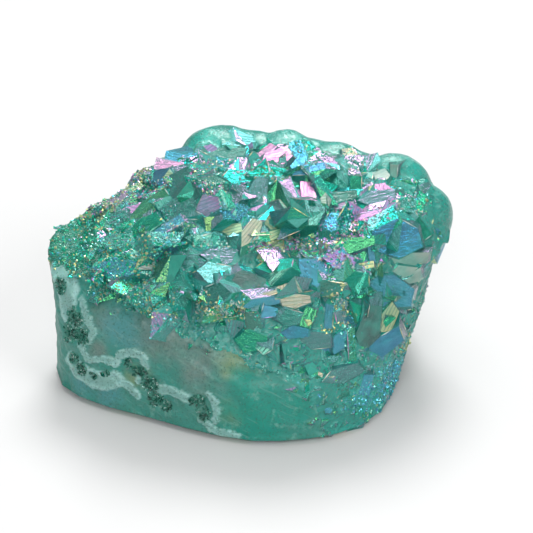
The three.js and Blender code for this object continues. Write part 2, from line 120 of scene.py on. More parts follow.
def ease(values, low, high):
    """0 below `low`, 1 above `high`, and 3t^2 - 2t^3 between."""
    t = np.clip((values - low) / (high - low), 0, 1)
    return t * t * (3 - 2 * t)


def rows_unit(vectors):
    """Each row divided by its length."""
    return vectors / np.maximum(np.linalg.norm(vectors, axis=1, keepdims=True), 1e-12)


# ---- Mesh helpers -------------------------------------------------------------------------------

def read_array(items, field, width=1, kind=np.float32):
    """One field of every item of a Blender collection, as an array with `width` columns."""
    values = np.zeros(len(items) * width, kind)
    items.foreach_get(field, values)
    return values.reshape(-1, width) if width > 1 else values


def merged_copy(node):
    """The CAD node's vertices and triangles, with vertices that lie together made one."""
    source = node.data
    places = read_array(source.vertices, "co", 3).astype(np.float64)
    source.calc_loop_triangles()
    corners = read_array(source.loop_triangles, "vertices", 3, np.int32)
    _, first, back = np.unique(np.round(places / WELD).astype(np.int64), axis=0,
                               return_index=True, return_inverse=True)
    faces = back.reshape(-1)[corners]
    distinct = (faces[:, 0] != faces[:, 1]) & (faces[:, 1] != faces[:, 2]) & (faces[:, 2] != faces[:, 0])
    return places[first], faces[distinct]


def face_frames(places, faces):
    """Each triangle's centre, unit normal and area."""
    a, b, c = places[faces[:, 0]], places[faces[:, 1]], places[faces[:, 2]]
    cross = np.cross(b - a, c - a)
    length = np.linalg.norm(cross, axis=1)
    return (a + b + c) / 3, cross / np.maximum(length, 1e-15)[:, None], length / 2


def shared_edges(faces):
    """Each edge that two triangles share, as its two vertices and the two triangles."""
    edges = np.sort(np.concatenate([faces[:, [0, 1]], faces[:, [1, 2]], faces[:, [2, 0]]]), axis=1)
    owner = np.tile(np.arange(len(faces)), 3)
    order = np.lexsort((edges[:, 1], edges[:, 0]))
    edges, owner = edges[order], owner[order]
    same = (edges[1:] == edges[:-1]).all(axis=1)
    return edges[:-1][same], owner[:-1][same], owner[1:][same]


def spread(start, faces, normals, gentle_degrees):
    """Grows a set of triangles over every shared edge that bends less than `gentle_degrees`."""
    _, left, right = shared_edges(faces)
    gentle = (normals[left] * normals[right]).sum(1) > math.cos(math.radians(gentle_degrees))
    left, right = left[gentle], right[gentle]
    inside = start.copy()
    while True:
        before = inside.sum()
        inside[left[inside[right]]] = True
        inside[right[inside[left]]] = True
        if inside.sum() == before:
            return inside


def object_from(name, places, faces, materials, slots=None):
    """A flat-shaded mesh object from arrays, with one material number for each face."""
    mesh = bpy.data.meshes.new(name)
    mesh.vertices.add(len(places))
    mesh.vertices.foreach_set("co", places.astype(np.float32).ravel())
    sides = faces.shape[1]
    mesh.loops.add(len(faces) * sides)
    mesh.loops.foreach_set("vertex_index", faces.astype(np.int32).ravel())
    mesh.polygons.add(len(faces))
    mesh.polygons.foreach_set("loop_start", np.arange(0, len(faces) * sides, sides, dtype=np.int32))
    mesh.update(calc_edges=True)
    for material in materials:
        mesh.materials.append(material)
    if slots is not None:
        mesh.polygons.foreach_set("material_index", slots.astype(np.int32))
    mesh.polygons.foreach_set("use_smooth", np.zeros(len(faces), bool))
    piece = bpy.data.objects.new(name, mesh)
    bpy.context.scene.collection.objects.link(piece)
    return piece


def read_back(name):
    """A finished piece's places in millimetres and its triangles."""
    mesh = bpy.data.objects[name].data
    corners = read_array(mesh.loops, "vertex_index", 1, np.int32)
    return read_array(mesh.vertices, "co", 3).astype(float) / MM, corners.reshape(-1, 3)


def read_faces(name, attribute):
    """A number for each face of a piece, as the piece keeps it."""
    return read_array(bpy.data.objects[name].data.attributes[attribute].data, "value")


def in_box(places):
    """Places held inside the fixed solid's own box."""
    low, high = np.array(CAD_BOX, float).reshape(2, 3) / MM
    return np.clip(places, low, high)


def add_attribute(mesh, name, values, domain="POINT", kind="FLOAT"):
    """Keeps a number or colour for each vertex or face of a mesh, for its materials to read."""
    layer = mesh.attributes.new(name, kind, domain)
    field = "color" if kind == "FLOAT_COLOR" else "value"
    layer.data.foreach_set(field, np.ascontiguousarray(values, dtype=np.float32).ravel())


# ---- Where things are on the cluster ------------------------------------------------------------
# Places are in millimetres in the row's own frame.

HALF_LENGTH = 42
HALF_WIDTH = 31
WALL_SEEDS = (  # places on the matrix wall, from which it is found
    (-20, -22, 12), (0, -29, 8), (-36, -12, 16), (14, -27, 6), (-39, 2, 14), (-36, 0, 31), (-20, 21, 12),
    (0, 28, 14), (14, 25, 14), (30, 15, 12), (34, 2, 8), (-12, -22, 25), (20, -20, 19),
)
RIM_LUMPS = (  # centre, then the three radii
    ((-6.4, 23.6, 36), (9.8, 7, 7.2)), ((-15.9, 18.8, 32.8), (6.4, 6, 5.8)),
    ((7.5, 21.4, 36.4), (6.6, 6, 7.2)), ((17.6, 17.4, 36), (7.6, 5.4, 6.8)),
    ((29.7, 11.8, 32.6), (9.2, 8, 10)), ((36.7, 4.4, 32), (5.4, 6, 7.2)),
    ((0.7, 23, 35.6), (6.6, 6, 6.8)), ((12.7, 19.6, 35.6), (5.6, 5.4, 6.8)),
    ((23.5, 15, 33.8), (6, 6, 7.6)),
)
MATRIX_EDGE = (  # degrees round from the right end, height of the matrix's top edge
    (-180, 28.4), (-168, 27.0), (-161, 25.9), (-146, 25.6), (-140, 24.0), (-123, 24.2), (-115, 21.8),
    (-102, 20.0), (-93, 18.5), (-87, 16.8), (-80, 14.3), (-76, 12.7), (-72, 8.7), (-69, 1), (-66, -6),
    (-6, -6), (6, 18), (20, 24), (60, 28), (120, 28), (180, 28.4),
)
BACK_BANDS = (  # the middle line of each pale band on the back and half its width
    (((-19.7, 21.8, 16), (-11.7, 25.8, 12.5), (-3.7, 28.3, 14), (3.3, 28.9, 9.5)), 1.4),
    (((12.3, 25.9, 15), (20.3, 21.8, 11), (27.3, 17.3, 14)), 1.3),
)
BACK_CLOUDS = {  # place, then radius
    "mauve": ((10.3, 27.3, 20, 9), (-29.7, 14.3, 16, 8)),
    "olive": ((-15.7, 24.3, 8, 6), (28.3, 16.3, 9, 6)),
    "teal": ((0.3, 29.3, 20, 7),),
    "blue": ((-21.7, 21.3, 22, 6),),
}

# Marks on the front wall: pixels across and down in a view 533 pixels wide and high, with widths and
# radii in millimetres. Each lies where the camera's sight line through its pixel meets the solid.
PIT_PIXELS = (  # place, then radius
    (59, 287, 1.5), (71, 319, 2), (67, 333, 1.7), (79, 336, 1.8), (72, 359, 1.3), (81, 369, 1.2),
    (94, 375, 0.7), (104, 373, 0.8), (128, 364, 0.9), (131, 373, 1.3), (140, 374, 1.3), (148, 385, 1.7),
    (155, 400, 1.6), (164, 406, 1.3), (196, 404, 1.7), (202, 415, 1.5),
)
BAND_PIXELS = (  # the middle line of each pale band and half its width
    (((80, 300), (86, 315), (93, 330), (88, 342), (80, 345), (87, 361), (100, 358), (115, 362)), 0.8),
    (((115, 364), (120, 355), (130, 352), (140, 357), (145, 365)), 0.8),
    (((115, 375), (125, 385), (137, 395)), 0.9),
    (((60, 271), (66, 283), (67, 308), (72, 328)), 2.4),
    (((75, 360), (78, 370), (95, 380), (115, 380)), 1.9),
    (((140, 382), (155, 394), (165, 390), (180, 395), (195, 399)), 1.1),
    (((207, 395), (213, 403), (218, 412), (214, 421)), 0.7),
    (((200, 421), (215, 430), (235, 437)), 0.8),
)
CLOUD_PIXELS = {  # place, then radius
    "mauve": ((97, 350, 2.6), (171, 335, 7), (148, 338, 5), (106, 325, 4), (201, 368, 6)),
    "olive": ((135, 376, 3.2), (57, 258, 4.5), (230, 415, 3), (237, 362, 4)),
    "teal": ((252, 420, 9), (273, 412, 2.6), (298, 407, 5), (242, 391, 5)),
    "blue": ((80, 386, 3.5), (108, 396, 3.6), (121, 328, 5)),
}
CLOUD_SEEDS = {"mauve": 71, "olive": 72, "teal": 73, "blue": 74}

# Main faces as they are seen from the front: finish, middle in millimetres right and up of the camera's
# aim, length, width, turn in degrees and number of corners.
MAIN_FACES = (
    # Upper left slopes
    ("lilac", -20.7, 21.0, 5.4, 1.9, -8, 4), ("slate", -21.0, 18.4, 4.4, 3.4, 20, 5),
    ("gold", -27.0, 16.2, 2.8, 1.7, 45, 4), ("teal", -17.0, 17.0, 6.8, 5.6, 60, 6),
    ("olive", -24.4, 12.4, 9.4, 2.6, 41, 6), ("green", -24.4, 8.8, 6.0, 3.0, 28, 5),
    ("teal", -17.2, 11.2, 7.4, 5.8, 15, 6), ("blue", -20.3, 8.0, 7.0, 1.6, 34, 4),
    ("gold", -34.0, 11.2, 4.2, 1.6, 50, 4), ("pink", -30.6, 13.8, 4.4, 1.6, 45, 4),
    ("teal", -31.6, 9.6, 5.4, 2.8, 25, 5), ("teal", -31.0, 5.2, 6.6, 2.8, 10, 5),
    ("milky", -12.6, 20.6, 6.0, 2.4, 20, 5), ("milky", -8.6, 23.0, 7.6, 2.2, 8, 5),
    # Middle slope
    ("deep", -11.0, 17.0, 5.4, 3.8, -25, 5), ("pink", -12.0, 12.6, 4.3, 3.7, 15, 5),
    ("olive", -11.2, 9.0, 3.0, 2.6, 5, 4), ("green", -6.2, 18.4, 5.0, 3.0, 10, 5),
    ("blue", -6.6, 11.4, 4.8, 3.0, -5, 4), ("teal", -6.1, 15.0, 4.6, 3.2, 5, 5),
    ("teal", -1.3, 14.8, 6.6, 4.2, 88, 6), ("olive", 2.2, 14.0, 5.6, 3.7, 100, 5),
    ("green", 0.4, 19.2, 7.0, 2.6, 0, 5), ("gold", -6.8, 7.7, 4.0, 2.0, 8, 5),
    ("glint_white", -3.0, 7.3, 5.6, 2.7, 62, 5), ("green", 4.0, 7.5, 4.0, 3.0, -30, 5),
    ("glint_white", 6.6, 11.4, 7.6, 1.9, -28, 5), ("teal", 10.2, 11.8, 4.4, 2.4, -35, 5),
    ("blue", 13.6, 9.4, 5.2, 3.0, 5, 5), ("green", 8.4, 7.4, 3.6, 2.0, 5, 4),
    # Crest
    ("lilac", 2.2, 22.4, 5.6, 3.3, 30, 5), ("lilac", -0.8, 23.2, 5.2, 1.4, 40, 4),
    ("blue", 6.1, 23.0, 5.8, 3.4, 100, 5), ("green", 8.8, 24.2, 4.2, 2.0, 130, 5),
    ("slate", 8.8, 20.6, 6.6, 2.0, 25, 5), ("green", 11.6, 18.0, 6.0, 4.5, -35, 5),
    ("mint", 15.6, 20.2, 5.2, 2.2, 105, 5), ("mint", 13.4, 19.8, 3.8, 1.1, 115, 4),
    ("glint_white", 17.0, 23.3, 2.8, 2.0, -35, 5), ("green", 18.4, 17.2, 3.6, 2.0, 85, 4),
    ("lilac", 8.5, 15.1, 4.6, 2.7, 100, 5), ("blue", 10.3, 14.8, 4.4, 1.0, 115, 4),
    ("deep", 15.0, 14.3, 6.0, 2.2, 10, 5), ("pink", 16.0, 12.6, 4.6, 1.2, 2, 4),
    ("cream", 23.2, 18.4, 3.4, 2.6, 30, 5), ("cream", 26.2, 19.8, 2.4, 1.4, 90, 4),
    # Right shoulder
    ("pink", 21.4, 10.0, 5.4, 3.0, 20, 5), ("pink", 25.4, 11.8, 4.6, 2.6, 75, 5),
    ("teal", 23.2, 14.2, 6.6, 2.6, 12, 5), ("mint", 29.0, 12.6, 3.8, 2.6, -5, 4),
    ("slate", 26.8, 5.8, 9.0, 6.4, 5, 6), ("green", 31.8, 7.2, 4.6, 2.7, 120, 4),
    ("green", 31.6, 13.2, 3.8, 1.9, 70, 4), ("green", 17.6, 4.4, 8.0, 2.7, 12, 5),
    ("blue", 21.6, 2.4, 3.6, 1.2, 95, 4), ("gold", 20.4, 0.2, 3.0, 1.4, 12, 4),
    ("cream", 28.8, 1.4, 8.6, 2.7, 5, 5), ("cream", 28.6, -1.9, 6.2, 3.8, 5, 5),
    ("blue", 25.6, -5.0, 8.2, 5.6, -20, 6), ("dark", 21.2, -12.6, 8.8, 4.0, 75, 5),
    ("gold", 25.0, -10.6, 5.2, 3.0, 60, 5), ("slate", 23.4, -16.8, 10.0, 3.6, 35, 5),
    # Front slope
    ("blue", -30.4, -0.4, 8.2, 3.4, 0, 5), ("slate", -21.4, 2.8, 5.2, 3.0, 5, 5),
    ("olive", -22.4, 0.0, 6.0, 2.4, 65, 4), ("teal", -16.4, 1.4, 6.8, 4.6, 0, 6),
    ("teal", -18.2, -4.0, 8.2, 4.0, 110, 5), ("teal", -9.4, 2.2, 6.6, 2.9, 0, 5),
    ("mint", -10.4, -1.2, 6.2, 3.4, -5, 5), ("teal", -10.4, -6.0, 5.2, 4.0, 40, 5),
    ("dark", -3.8, -3.8, 7.8, 4.4, -12, 5), ("green", 1.8, 0.4, 6.4, 2.4, 8, 5),
    ("olive", 2.8, -2.2, 5.0, 1.6, 28, 4), ("slate", 9.6, -0.8, 5.6, 4.2, -40, 5),
    ("lilac", 15.2, 1.2, 5.4, 3.0, -15, 5), ("deep", 12.8, -4.4, 4.8, 2.5, -5, 5),
    ("green", 18.8, -2.8, 4.6, 3.2, 0, 5), ("glint_white", -1.6, -6.1, 6.8, 0.8, 13, 4),
    ("blue", -0.6, -7.4, 6.8, 1.7, 12, 5), ("slate", 0.0, -9.3, 4.4, 2.2, 0, 5),
    ("glint_white", 6.1, -7.1, 5.4, 2.5, 5, 6), ("deep", -2.8, -11.6, 4.8, 2.9, 100, 5),
    ("teal", 5.2, -10.6, 5.0, 2.8, 0, 5), ("green", 8.6, -10.4, 3.8, 2.2, 70, 4),
    ("blue", 12.8, -10.4, 4.8, 1.7, 88, 4), ("teal", 15.4, -9.2, 4.6, 2.1, 75, 5),
    ("slate", 5.9, -13.6, 4.6, 2.4, 0, 5), ("teal", 10.6, -15.2, 5.4, 3.2, 0, 5),
    ("green", -3.0, -15.4, 5.4, 3.8, -10, 5), ("blue", 15.2, -15.4, 4.4, 2.7, 70, 5),
    ("olive", 17.6, -16.0, 5.8, 1.6, 95, 4), ("teal", 15.8, -22.2, 6.8, 2.6, 20, 5),
    ("blue", 20.6, -24.6, 4.0, 1.8, 75, 4), ("blue", 26.2, -21.4, 4.0, 1.7, 60, 4),
)

# Patches where a finish is common: place, radius, finish and how many of the facets there have it.
GLINT_PATCHES = (
    (-28.3, -3.2, 36.9, 5.0, "gold", 0.5), (-25.7, 0.3, 38.5, 4.5, "pink", 0.4),
    (-20.7, 6.3, 40, 4, "gold", 0.35), (-5.7, -20.2, 29.8, 2.6, "gold", 0.5),
    (-22.7, -14.2, 31.5, 4.2, "gold", 0.3), (-27.7, -8.7, 34, 5.5, "blue", 0.42),
    (-18.7, 10.3, 41, 5, "pink", 0.4), (-13.7, 14.3, 40, 6, "blue", 0.25),
    (-2.7, 18.3, 41.5, 5, "mint", 0.5), (9.3, 17.8, 41, 4.5, "glint_white", 0.35),
    (18.3, 14.3, 41, 5, "glint_white", 0.35), (24.3, -2.7, 39.5, 5, "pink", 0.35),
    (13.3, -4.7, 39, 5, "glint_white", 0.25), (3.3, -11.7, 37, 6, "gold", 0.3),
    (14.3, -11.7, 36.5, 6, "pink", 0.28), (18.3, -11.7, 35, 5, "glint_white", 0.28),
    (7.3, -23.2, 30, 4, "glint_white", 0.4), (13.3, -21.7, 27, 5, "gold", 0.3),
    (17.3, -22.7, 22, 5, "blue", 0.35), (25.3, -18.7, 6, 7, "blue", 0.5),
    (30.3, -10.7, 6, 6, "blue", 0.45), (36.3, -3.7, 30, 6, "blue", 0.3), (40.3, -0.7, 34, 4, "gold", 0.3),
    (-9.7, 2.3, 39, 6, "deep", 0.3), (-3.7, -1.7, 38.6, 5, "pink", 0.3),
    (-33.7, -5.7, 32, 6, "mint", 0.2), (22.3, -15.7, 33, 5, "deep", 0.3),
)

# Glitter: middle line in pixels of the same view, half width in millimetres, and finishes drawn from.
GLITTER = (
    (((85, 215), (110, 200), (130, 186), (145, 172)), 1.2, ("gold", "pink", "glint_white", "gold")),
    (((130, 200), (150, 187), (172, 182)), 0.8, ("pink", "glint_white", "blue")),
    (((95, 275), (120, 264), (148, 256)), 1.9, ("blue", "lilac", "blue")),
    (((124.9, 285), (150, 300), (165, 315)), 1.6, ("gold", "glint_white", "mint")),
    (((205, 308), (240, 313)), 1.4, ("gold", "glint_white")),
    (((262, 247), (300, 243), (330, 242), (362, 231)), 1.0, ("pink", "gold", "glint_white", "lilac")),
    (((322, 226), (345, 219)), 1.4, ("blue", "lilac", "mint")),
    (((292, 140), (310, 152), (322, 156)), 1.4, ("glint_white", "mint", "green")),
    (((345, 150), (358.2, 165)), 1.4, ("glint_white", "mint")),
    (((238, 176), (252, 168)), 0.8, ("pink", "glint_white")),
    (((193, 164), (228, 163)), 0.6, ("glint_white", "blue", "lilac")),
    (((198, 178), (218, 192)), 1.2, ("gold", "deep", "pink")),
    (((150, 246), (180, 230)), 1.2, ("mint", "glint_white", "blue")),
    (((330, 262), (350, 258)), 1.4, ("lilac", "glint_white", "blue")),
    (((335, 298), (346, 312)), 1.0, ("gold", "glint_white")),
    (((330, 326), (342, 326)), 0.8, ("gold",)),
    (((356, 226), (384, 214)), 0.8, ("pink", "glint_white")),
    (((396, 206), (418, 200)), 1.2, ("mint", "glint_white", "green")),
    (((268, 374), (288, 384)), 0.8, ("glint_white", "mint")),
    (((355, 400), (375, 400), (392, 372)), 1.6, ("blue", "blue", "mint")),
    (((222, 206), (245, 214)), 1.0, ("blue", "mint")),
    (((255, 172), (285, 176)), 1.0, ("green", "gold", "mint")),
    (((196, 244), (224, 244)), 0.6, ("glint_white", "mint")),
    (((50, 262), (80, 282), (110, 300)), 1.0, ("green", "mint", "gold")),
    (((60, 235), (135.5, 257)), 3.6, ("emerald", "emerald", "deep", "mint", "emerald", "gold")),
    (((345, 330), (352, 352)), 0.8, ("mint", "deep")),
    (((400, 350), (408.2, 345)), 0.6, ("gold",)),
)

DRUSE_PATCHES = (  # where grains lie among the facets: place, then radius
    (-27.7, -14.2, 30, 5), (-21.7, -16.7, 28, 4), (-13.7, -18.7, 29, 4), (14.3, 15.3, 40, 4),
    (24.3, 12.3, 39, 3), (30.3, 2.3, 37, 4), (2.3, 8.3, 40, 3), (-7.7, 8.3, 40, 4),
)

STUDIO_LIGHTS = (  # name, place and width in metres, power in watts
    ("panel_light", (-0.08, 0.25, 0.78), 1.00, 5.2),
    ("key_light", (0.04, 0.42, 0.60), 0.30, 4.2),
    ("fill_light", (0.45, -0.30, 0.45), 0.35, 2.2),
    ("front_light", (-0.10, -0.55, 0.40), 0.45, 2.6),
)
CAMERA_RISE = 32  # degrees above the floor
CAMERA_AIM = (3.075, -2.13, 24.0)
CAMERA_DISTANCE = 305
CAMERA_LENS = 100
CAMERA_SENSOR = 36
VIEW_SIZE = 533  # pixels across and down
PIXELS_PER_MM = VIEW_SIZE * CAMERA_LENS / (CAMERA_SENSOR * CAMERA_DISTANCE)  # at the camera's aim

FINISH_LOOKS = {  # body colour, film in nanometres, share of light let through, roughness, strength of the pale lines painted on growth steps as glints
    "teal": ((0.03, 0.68, 0.54), 440, 0.70, 0.09, 0.30),
    "green": ((0.02, 0.60, 0.38), 330, 0.68, 0.08, 0.20),
    "mint": ((0.16, 0.76, 0.62), 192, 0.55, 0.12, 0.40),
    "pink": ((0.55, 0.36, 0.56), 282, 0.40, 0.14, 0.60),
    "gold": ((0.60, 0.70, 0.40), 216, 0.40, 0.14, 0.60),
    "blue": ((0.16, 0.56, 0.70), 176, 0.55, 0.10, 0.40),
    "slate": ((0.16, 0.42, 0.56), 170, 0.50, 0.14, 0.12),
    # The pale body colour of this finish is a painted highlight: it stands for glints of the lamps on faces,
    # grains and edge ridges. Its film is real.
    "glint_white": ((0.50, 0.76, 0.74), 110, 0.40, 0.16, 0.70),
    "deep": ((0.02, 0.42, 0.31), 0, 0.55, 0.07, 0.15),
    "olive": ((0.10, 0.45, 0.27), 341, 0.60, 0.10, 0.25),
    "milky": ((0.06, 0.68, 0.55), 0, 0.55, 0.14, 0.06),
    "lilac": ((0.45, 0.38, 0.60), 275, 0.35, 0.12, 0.06),
    "cream": ((0.56, 0.74, 0.62), 0, 0.40, 0.14, 0.10),
    "dark": ((0.01, 0.20, 0.17), 0, 0.45, 0.06, 0.10),
}
FINISHES = tuple(FINISH_LOOKS)
EMERALD = (0.01, 0.60, 0.34)  # body of the left end's grains, which have no film
BODY_COLOURS = {name: look[0] for name, look in FINISH_LOOKS.items()} | {"emerald": EMERALD}
FILMS = {name: look[1] for name, look in FINISH_LOOKS.items()} | {"emerald": 0}
BODY_RANGE = ("deep", "teal", "olive", "teal", "teal", "green", "teal", "milky", "teal", "mint")
ACCENTS = ("pink", "gold", "blue", "glint_white", "blue", "mint")
ACCENT_SHARE = 0.045
ALWAYS_STRIPED = ("pink", "gold", "glint_white")
STRIPED_SHARE = 0.25  # of the other facets
# Grains of the pale glint finish are painted sparkle: their body colour stands for glints of the lamps.
GRAIN_FINISHES = ("teal", "green", "blue", "mint", "gold", "glint_white", "pink", "lilac", "deep", "emerald")
PIT_COLOURS = {"deep": (0.03, 0.21, 0.15), "moss": (0.08, 0.36, 0.27), "pale": (0.24, 0.52, 0.45)}
# Ridges on crisp edges are real thin bevels with a film, and their pale colours are painted highlights of
# edges that catch the lamps.
EDGE_GLINT_FINISHES = ("glint_white", "mint", "gold", "pink")
EDGE_GLINT_COLOURS = {"glint_white": (0.72, 0.93, 0.90), "mint": (0.30, 0.80, 0.66), "gold": (0.80, 0.76, 0.42),
                "pink": (0.78, 0.55, 0.78)}
EDGE_GLINT_SHARE = 0.14  # of the crisp edges have a ridge, painted pale as an edge highlight
LUMP_COLOUR = (0.16, 0.76, 0.64)
SOFT_CRUST_COLOUR = (0.04, 0.60, 0.49)
LEFT_END_COLOUR = (0.01, 0.36, 0.22)
CRYSTAL_IOR = 1.54
FILM_IOR = 2.0
ABSORPTION = 30.0
VEIL = (0.05, 0.58, 0.45, 1.0)  # teal depth that shows in patches behind every face


# ---- Settings -------------------------------------------------------------------------------------

class ClusterColours(bpy.types.PropertyGroup):
    """Colours of the cluster's finishes, as linear red, green and blue."""
    depth: bpy.props.FloatVectorProperty(
        name="Depth", description="Colour that a thick crystal absorbs towards",
        subtype="COLOR", size=3, default=(0.12, 0.72, 0.58), min=0, max=1)
    matrix: bpy.props.FloatVectorProperty(
        name="Matrix", description="Main colour of the waxy matrix wall",
        subtype="COLOR", size=3, default=(0.042, 0.215, 0.176), min=0, max=1)
    chalcedony: bpy.props.FloatVectorProperty(
        name="Chalcedony", description="Colour of the pale bands round the pits",
        subtype="COLOR", size=3, default=(0.17, 0.35, 0.32), min=0, max=1)


class ClusterSizes(bpy.types.PropertyGroup):
    """Sizes of the cluster's fine forms."""
    grain: bpy.props.FloatProperty(
        name="Druse grain", description="Usual radius of a sugar grain",
        unit="LENGTH", default=0.32 * MM, min=0.1 * MM)
    wall_step: bpy.props.FloatProperty(
        name="Wall step", description="Longest edge of the matrix wall's mesh",
        unit="LENGTH", default=0.86 * MM, min=0.2 * MM)


def colours():
    """The scene's colour settings."""
    return bpy.context.scene.cluster_colours


def sizes():
    """The scene's size settings."""
    return bpy.context.scene.cluster_sizes


# ---- Materials ------------------------------------------------------------------------------------

class Nodes:
    """Shorthand for one material's or group's node tree."""

    def __init__(self, tree):
        """Keeps the tree that the nodes go into."""
        self.tree = tree

    def add(self, kind, inputs=None, **settings):
        """A new node with its settings made and its inputs fed."""
        node = self.tree.nodes.new(kind)
        for name, value in settings.items():
            setattr(node, name, value)
        for name, value in (inputs or {}).items():
            self.feed(node.inputs[name], value)
        return node

    def feed(self, socket, value):
        """Links another node's output to a socket, or sets the socket to a plain value."""
        if isinstance(value, bpy.types.NodeSocket):
            self.tree.links.new(value, socket)
        else:
            socket.default_value = value

    def maths(self, operation, a, b=0.0):
        """The result of one sum on two values."""
        node = self.add("ShaderNodeMath", operation=operation)
        self.feed(node.inputs[0], a)
        self.feed(node.inputs[1], b)
        return node.outputs[0]

    def mix(self, share, a, b, blend="MIX"):
        """Colour a with a share of colour b blended in."""
        node = self.add("ShaderNodeMix", data_type="RGBA", blend_type=blend, clamp_factor=True)
        self.feed(node.inputs[0], share)
        self.feed(node.inputs[6], a)
        self.feed(node.inputs[7], b)
        return node.outputs[2]

    def ramp(self, value, low, high):
        """A value's way from low to high, held between 0 and 1."""
        node = self.add("ShaderNodeMapRange", {"Value": value, "From Min": low, "From Max": high})
        return node.outputs[0]

    def stain(self, name):
        """The number that the mesh keeps under a name."""
        return self.add("ShaderNodeAttribute", attribute_name=name).outputs["Fac"]


def tint(rgb):
    """A colour with full cover added."""
    return (rgb[0], rgb[1], rgb[2], 1.0)


def empty_material(name):
    """A new material, its nodes, its one shader and its output."""
    material = bpy.data.materials.new(name)
    material.use_nodes = True
    material.node_tree.nodes.clear()
    nodes = Nodes(material.node_tree)
    shader = nodes.add("ShaderNodeBsdfPrincipled")
    output = nodes.add("ShaderNodeOutputMaterial")
    material.node_tree.links.new(shader.outputs[0], output.inputs["Surface"])
    return material, nodes, shader, output


def striation_group():
    """Growth lines on a facet. Terraces are whole-number steps of a noise stretched along the
    facet's own U, and grooves are thin waves across it, on the facets that are marked for them."""
    tree = bpy.data.node_groups.new("Growth Lines", "ShaderNodeTree")
    tree.interface.new_socket("Spacing", in_out="INPUT", socket_type="NodeSocketFloat").default_value = 1.0
    tree.interface.new_socket("Height", in_out="OUTPUT", socket_type="NodeSocketFloat")
    tree.interface.new_socket("Lines", in_out="OUTPUT", socket_type="NodeSocketFloat")
    tree.interface.new_socket("Grooves", in_out="OUTPUT", socket_type="NodeSocketFloat")
    nodes = Nodes(tree)
    given = nodes.add("NodeGroupInput")
    uv = nodes.add("ShaderNodeUVMap", uv_map="facet").outputs[0]
    stretched = nodes.add("ShaderNodeMapping", {"Vector": uv, "Scale": (0.35, 2.2, 1.0)})
    broken = nodes.add("ShaderNodeTexNoise", {
        "Vector": stretched.outputs[0], "Scale": given.outputs["Spacing"], "Detail": 3.0, "Roughness": 0.6})
    steps = nodes.maths("FRACT", nodes.maths("MULTIPLY", broken.outputs["Fac"], 9.0))
    terraces = nodes.maths("MULTIPLY", nodes.ramp(steps, 0.82, 0.95), 0.7)
    wave = nodes.add("ShaderNodeTexWave", {
        "Vector": uv, "Scale": 0.45, "Distortion": 0.7, "Detail": 2.0, "Detail Scale": 0.6,
    }, bands_direction="Y", wave_profile="SAW")
    marked = nodes.stain("facet_striped")
    grooves = nodes.maths("MULTIPLY", nodes.ramp(wave.outputs["Fac"], 0.68, 0.80), marked)
    height = nodes.maths("SUBTRACT", steps, nodes.maths("MULTIPLY", grooves, 2.0))
    out = nodes.add("NodeGroupOutput")
    tree.links.new(height, out.inputs["Height"])
    tree.links.new(terraces, out.inputs["Lines"])
    tree.links.new(grooves, out.inputs["Grooves"])
    return tree


def veil_group():
    """Depth behind a facet. Ghosts are flat patches of light and shade with straight edges, cells
    stretched along the facet's own U, and Haze is a slow drift over them."""
    tree = bpy.data.node_groups.new("Inner Veils", "ShaderNodeTree")
    tree.interface.new_socket("Size", in_out="INPUT", socket_type="NodeSocketFloat").default_value = 1.0
    tree.interface.new_socket("Ghosts", in_out="OUTPUT", socket_type="NodeSocketFloat")
    tree.interface.new_socket("Haze", in_out="OUTPUT", socket_type="NodeSocketFloat")
    nodes = Nodes(tree)
    given = nodes.add("NodeGroupInput")
    uv = nodes.add("ShaderNodeUVMap", uv_map="facet").outputs[0]
    stretched = nodes.add("ShaderNodeMapping", {"Vector": uv, "Scale": (0.28, 0.75, 1.0)})
    cells = nodes.add("ShaderNodeTexVoronoi", {
        "Vector": stretched.outputs[0], "Scale": given.outputs["Size"]})
    parts = nodes.add("ShaderNodeSeparateColor", {"Color": cells.outputs["Color"]})
    drift = nodes.add("ShaderNodeTexNoise", {"Vector": uv, "Scale": 0.22, "Detail": 2.0, "Roughness": 0.5})
    out = nodes.add("NodeGroupOutput")
    tree.links.new(parts.outputs["Red"], out.inputs["Ghosts"])
    tree.links.new(nodes.ramp(drift.outputs["Fac"], 0.36, 0.64), out.inputs["Haze"])
    return tree


